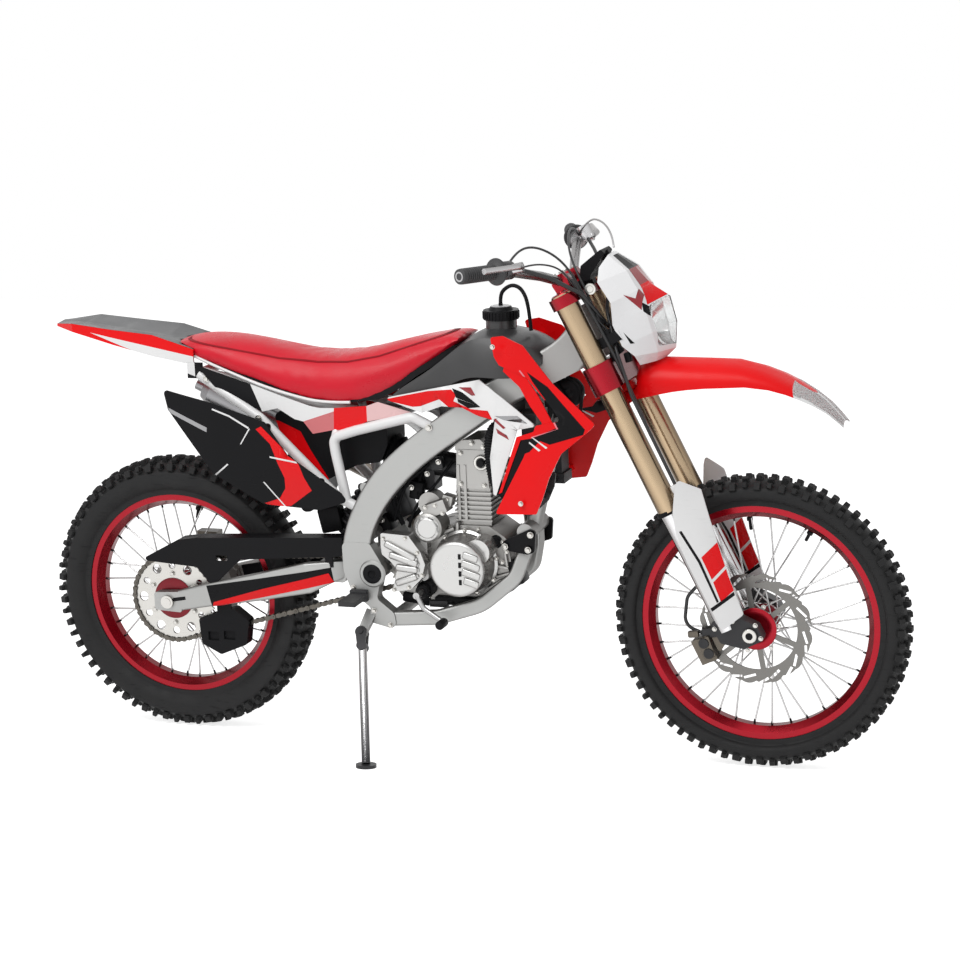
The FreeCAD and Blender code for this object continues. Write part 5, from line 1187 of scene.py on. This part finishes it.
def stuffed(node):
    """Foam under its cover: the node's form swollen a little by cloth pressure."""
    piece = skin(node)
    bpy.ops.object.modifier_add(type="REMESH")
    piece.modifiers["Remesh"].mode = "VOXEL"
    piece.modifiers["Remesh"].voxel_size = 0.006
    bpy.ops.object.modifier_apply(modifier="Remesh")
    bpy.ops.object.modifier_add(type="CLOTH")
    cloth = piece.modifiers["Cloth"]
    cloth.settings.use_pressure = True
    cloth.settings.uniform_pressure_force = 4
    cloth.settings.effector_weights.gravity = 0
    cloth.settings.tension_stiffness = 30
    cloth.settings.compression_stiffness = 30
    for step in range(1, 9):
        bpy.context.scene.frame_set(step)
    bpy.ops.object.modifier_apply(modifier="Cloth")
    bpy.context.scene.frame_set(1)
    return piece


saddle = stuffed("seat")
bpy.ops.object.modifier_add(type="SMOOTH")
saddle.modifiers["Smooth"].factor = 0.5
saddle.modifiers["Smooth"].iterations = 8
bpy.ops.object.modifier_apply(modifier="Smooth")
settle(saddle, "saddle", vinyl, angle=60)
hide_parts("seat")
seat_edge = ((-686, 60, 963), (-654, 72, 957), (-600, 84, 938), (-540, 90, 916), (-450, 98, 885),
             (-370, 101, 863), (-290, 103, 847), (-220, 103, 850))
for s, side_name in sides:
    swept("seat_edge_" + side_name, [spot(x, s * y, z) for x, y, z in seat_edge], 3.6, film_white)
shown_saddle = saddle.evaluated_get(bpy.context.evaluated_depsgraph_get())
skins["saddle"] = bpy.data.meshes.new_from_object(shown_saddle)
seam_line = ((-655, 984), (-637, 981), (-541, 967), (-408, 945), (-309, 938), (-232, 940), (-155, 954),
             (-73, 980), (24, 1010), (61, 1018))
seam_half = 1.6
strips = [[(x0, z0 + seam_half), (x1, z1 + seam_half), (x1, z1 - seam_half), (x0, z0 - seam_half)]
          for (x0, z0), (x1, z1) in zip(seam_line, seam_line[1:])]
films("seat_seam", "saddle", strips, seam_red, facing=-0.2, lift=0.9)
base_rows = [(-662, 58, 959), (-640, 66, 953), (-600, 78, 938), (-540, 84, 916), (-450, 92, 885),
             (-370, 95, 863), (-290, 97, 847), (-220, 97, 849), (-150, 95, 857), (-100, 91, 882),
             (-60, 86, 911), (-4, 74, 944), (34, 60, 971)]
seat_base = sheet(base_rows, 4, lambda row, share: spot(row[0], share * row[1], row[2]))
settle(thickened(seat_base, 0.015, 1), "seat_base", black_satin)

# Rail covers
# Thin moulded sheets in black, white, rose and red that close the sides between the seat and the rails.
# They are clipped to the rails, the same set on each side.
cover_white = finish("cover white", (0.84, 0.84, 0.84), 0.3, coat=0.2, slot="white_plastic", tone=0.03,
                     marks=0.06)
rose_film = finish("rose film", (0.62, 0.16, 0.17), 0.3, slot="red_plastic", tone=0.04)
pale_film = finish("pale film", (0.80, 0.52, 0.52), 0.3, slot="white_plastic", tone=0.03)
rail_cover_y = 100
rail_cover_thickness = 0.0025


def extruded(name, outline, s):
    """A flat sheet standing upright beside the machine, grown outwards."""
    piece = drawn(name, [spot(x, s * rail_cover_y, z) for x, z in outline],
                  faces=[tuple(range(len(outline)))])
    grow = {"value": side_way * (rail_cover_thickness * s)}
    return worked(piece, lambda: bpy.ops.mesh.extrude_region_move(TRANSFORM_OT_translate=grow), face_out)


rail_covers = (
    ("rail_black", [(-611, 930), (-473, 887), (-446, 822), (-463, 829), (-566, 879)], black_satin),
    ("rail_grey", [(-473, 887), (-393, 860), (-323, 838), (-298, 834), (-262, 835), (-263, 827), (-342, 801),
                   (-364, 806), (-406, 831), (-446, 822)], cover_white),
    ("rail_rose", [(-342, 801), (-263, 827), (-265, 783), (-319, 772)], rose_film),
    ("rail_red", [(-263, 827), (-262, 835), (-180, 842), (-180, 805), (-233, 784), (-265, 783)], film_red),
    ("rail_pale", [(-180, 842), (-152, 852), (-65, 829), (-180, 805)], pale_film))
for name, outline, material in rail_covers:
    for s, side_name in sides:
        settle(extruded(name, outline, s), name + "_" + side_name, material)

# Shrouds and covers
# Moulded red shrouds with a black printed arrow, and white covers with angular red, black and grey film.
# Each is screwed to the tank, the radiator and the spar.
dress(red_plastic, "shrouds")
dress(cover_white, "side_covers")
covers = skin("side_covers")
for vertex in covers.data.vertices:
    run = vertex.co - spot(126, 0, 823)
    if abs(run.x) < 0.006 and abs(run.dot(up_way)) < 0.006:
        vertex.co.x += 0.020
skins["side_covers"] = covers.data.copy()
settle(covers, "trimmed_covers", cover_white)
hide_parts("side_covers")
films("shroud_arrow", "shrouds",
      [[(228, 944), (286, 910), (279, 875), (248, 920)], [(286, 910), (376, 820), (310, 821), (279, 875)],
       [(376, 820), (372, 808), (291, 782), (249, 794), (310, 821)],
       [(249, 794), (291, 782), (240, 762), (213, 735), (191, 742), (217, 783)],
       [(191, 742), (213, 735), (189, 695), (162, 652), (164, 665)]], film_black)
films("shroud_lines", "shrouds",
      [[(246, 795), (250, 795), (286, 775), (282, 772)], [(232, 787), (236, 788), (269, 768), (264, 765)]],
      film_white, lift=0.75)
films("shroud_inner_line", "shrouds",
      [[(214, 942), (217, 944), (280, 874), (277, 872)], [(277, 872), (280, 874), (312, 818), (308, 817)],
       [(308, 817), (312, 818), (216, 783), (214, 786)], [(216, 784), (213, 784), (160, 662), (163, 661)]],
      finish("pink film", (0.80, 0.22, 0.26), 0.3, slot="red_plastic", tone=0.03), lift=0.7)
films("cover_red", "side_covers",
      [[(-20, 884), (39, 890), (51, 878), (44, 863), (8, 866)],
       [(8, 866), (44, 863), (87, 847), (71, 834), (30, 850)],
       [(87, 847), (130, 845), (141, 824), (132, 821), (71, 836)],
       [(-134, 860), (-20, 884), (8, 866), (-40, 848), (-60, 846)]], film_red)
films("cover_black", "side_covers",
      [[(42, 893), (67, 885), (112, 853), (51, 872)], [(54, 870), (112, 853), (81, 849), (56, 862)]],
      film_black, lift=0.7)
films("cover_marks", "side_covers",
      [[(58, 896), (89, 897), (100, 879), (91, 878)], [(143, 824), (148, 829), (175, 809), (169, 806)],
       [(150, 806), (178, 792), (183, 782), (154, 795)]], film_dark_red)
films("cover_grey", "side_covers", [[(146, 834), (205, 838), (230, 822), (172, 826)]], film_grey)
bolts("shroud_bolts", [spot(153, -152, 995), spot(221, -195, 646)], 4.5, 5)


def shroud_y(x, z):
    """How far out the shroud's face lies, a plane in height bent along its length."""
    up = (z - 600) / 430
    ahead = (x - 130) / 280
    low = -166 - 64 * ahead + 14 * ahead ** 2
    high = -122 - 64 * ahead + 16 * ahead ** 2
    return low + (high - low) * up


def moulded(side, near_edge, far_edge, lift, thick):
    """A strip between two edges, bent like the shroud and lying that far off its outer face."""
    rows = [(x, shroud_y(x, z) - lift, z) for line in (near_edge, far_edge) for x, z in line]
    n = len(near_edge)
    points = [spot(x, -side * (y + depth), z) for depth in (0.0, thick) for x, y, z in rows]
    faces = [(0, n, 3 * n, 2 * n), (n - 1, 3 * n - 1, 4 * n - 1, 2 * n - 1)]
    for i in range(n - 1):
        faces += [(i, i + 1, n + i + 1, n + i), (2 * n + i, 3 * n + i, 3 * n + i + 1, 2 * n + i + 1),
                  (i, 2 * n + i, 2 * n + i + 1, i + 1), (n + i, n + i + 1, 3 * n + i + 1, 3 * n + i)]
    return worked(drawn("strip", points, faces=faces), face_out)


limb_outer = [(176, 952), (228, 930), (262, 886), (300, 822), (284, 800), (216, 786), (168, 664)]
limb_inner = [(172, 938), (214, 905), (240, 864), (270, 828), (264, 812), (206, 792), (160, 660)]
field_outer = [(256, 794), (262, 778), (250, 764), (222, 722), (194, 662)]
field_inner = [(212, 790), (208, 782), (200, 762), (184, 718), (164, 658)]
for s, side_name in sides:
    settle(moulded(s, limb_outer, limb_inner, 0.6, 3.4), "shroud_limb_" + side_name, red_plastic)
    settle(moulded(s, field_outer, field_inner, -1.6, 2.2), "shroud_field_" + side_name, film_black)

# Side panels and airbox film
# Black moulded number panels beside the tail, bolted to the lower rails; the number field is left blank.
# Printed film: a white stripe, fine white lines and a red sweep that runs on over the airbox.
dress(finish("panel black", (0.007, 0.007, 0.008), 0.34, shine=0.1, tone=0.1, grain_depth=0.1),
      "side_panels")
films("panel_stripe", "side_panels", [[(-676, 832), (-571, 789), (-572, 778), (-672, 820)]], film_grey)
films("panel_lines", "side_panels",
      [[(-554, 836), (-509, 821), (-510, 817), (-555, 832)],
       [(-509, 821), (-459, 794), (-461, 790), (-510, 817)],
       [(-460, 791), (-456, 791), (-481, 753), (-484, 753)],
       [(-520, 705), (-517, 703), (-556, 671), (-559, 674)],
       [(-409, 727), (-409, 723), (-341, 711), (-341, 715)],
       [(-429, 665), (-425, 665), (-373, 608), (-377, 608)]],
      film_white, lift=0.75)
films("panel_sweep", "side_panels",
      [[(-442, 790), (-428, 797), (-373, 744), (-407, 756)],
       [(-407, 756), (-373, 744), (-338, 710), (-389, 708)],
       [(-389, 708), (-338, 710), (-326, 678), (-374, 676)],
       [(-374, 676), (-326, 678), (-308, 647), (-333, 629), (-373, 651)],
       [(-373, 651), (-333, 629), (-361, 609), (-388, 627)],
       [(-388, 627), (-361, 609), (-406, 607), (-427, 614)]],
      film_red)
films("box_red", "airbox",
      [[(-470, 812), (-425, 792), (-383, 792), (-346, 722), (-372, 695), (-427, 759)],
       [(-372, 695), (-346, 722), (-286, 626), (-300, 620)]], film_red, facing=0.5)
films("box_grey", "airbox",
      [[(-421, 860), (-357, 822), (-334, 800), (-356, 790), (-392, 812)],
       [(-334, 800), (-206, 806), (-208, 795), (-265, 780), (-340, 782)]], film_grey, facing=0.5,
      slot="grey_plastic")

# Side stand and foot controls
# The stand is a chromed tube with a dark foot, hinged on the frame; the foot pegs are cast steel.
# The shift lever is forged and polished, with a rubber tip.
dress(dark_cast, "side_stand")
stand_pivot = spot(-200, -152, 306)
dress_where("side_stand", chrome, lambda p: 0.05 < (p - stand_pivot).length < 0.21)
dress(finish("forged silver", (0.50, 0.50, 0.50), 0.32, 0.85, tone=0.1), "foot_controls")
peg_front = spot(-170, 0, 0).x
dress_where("foot_controls", dark_cast, lambda p: p.x < peg_front)
for s, side_name in sides:
    block("peg_bracket_" + side_name, (-208, s * 139, 394), (44, 16, 28), 3, dark_cast)
lathe("shift_tip", [(0, 0), (9.5, 0), (10.5, 2), (10.5, 34), (9, 37), (0, 37)], spot(8, -151, 345),
      black_rubber, steps=20)
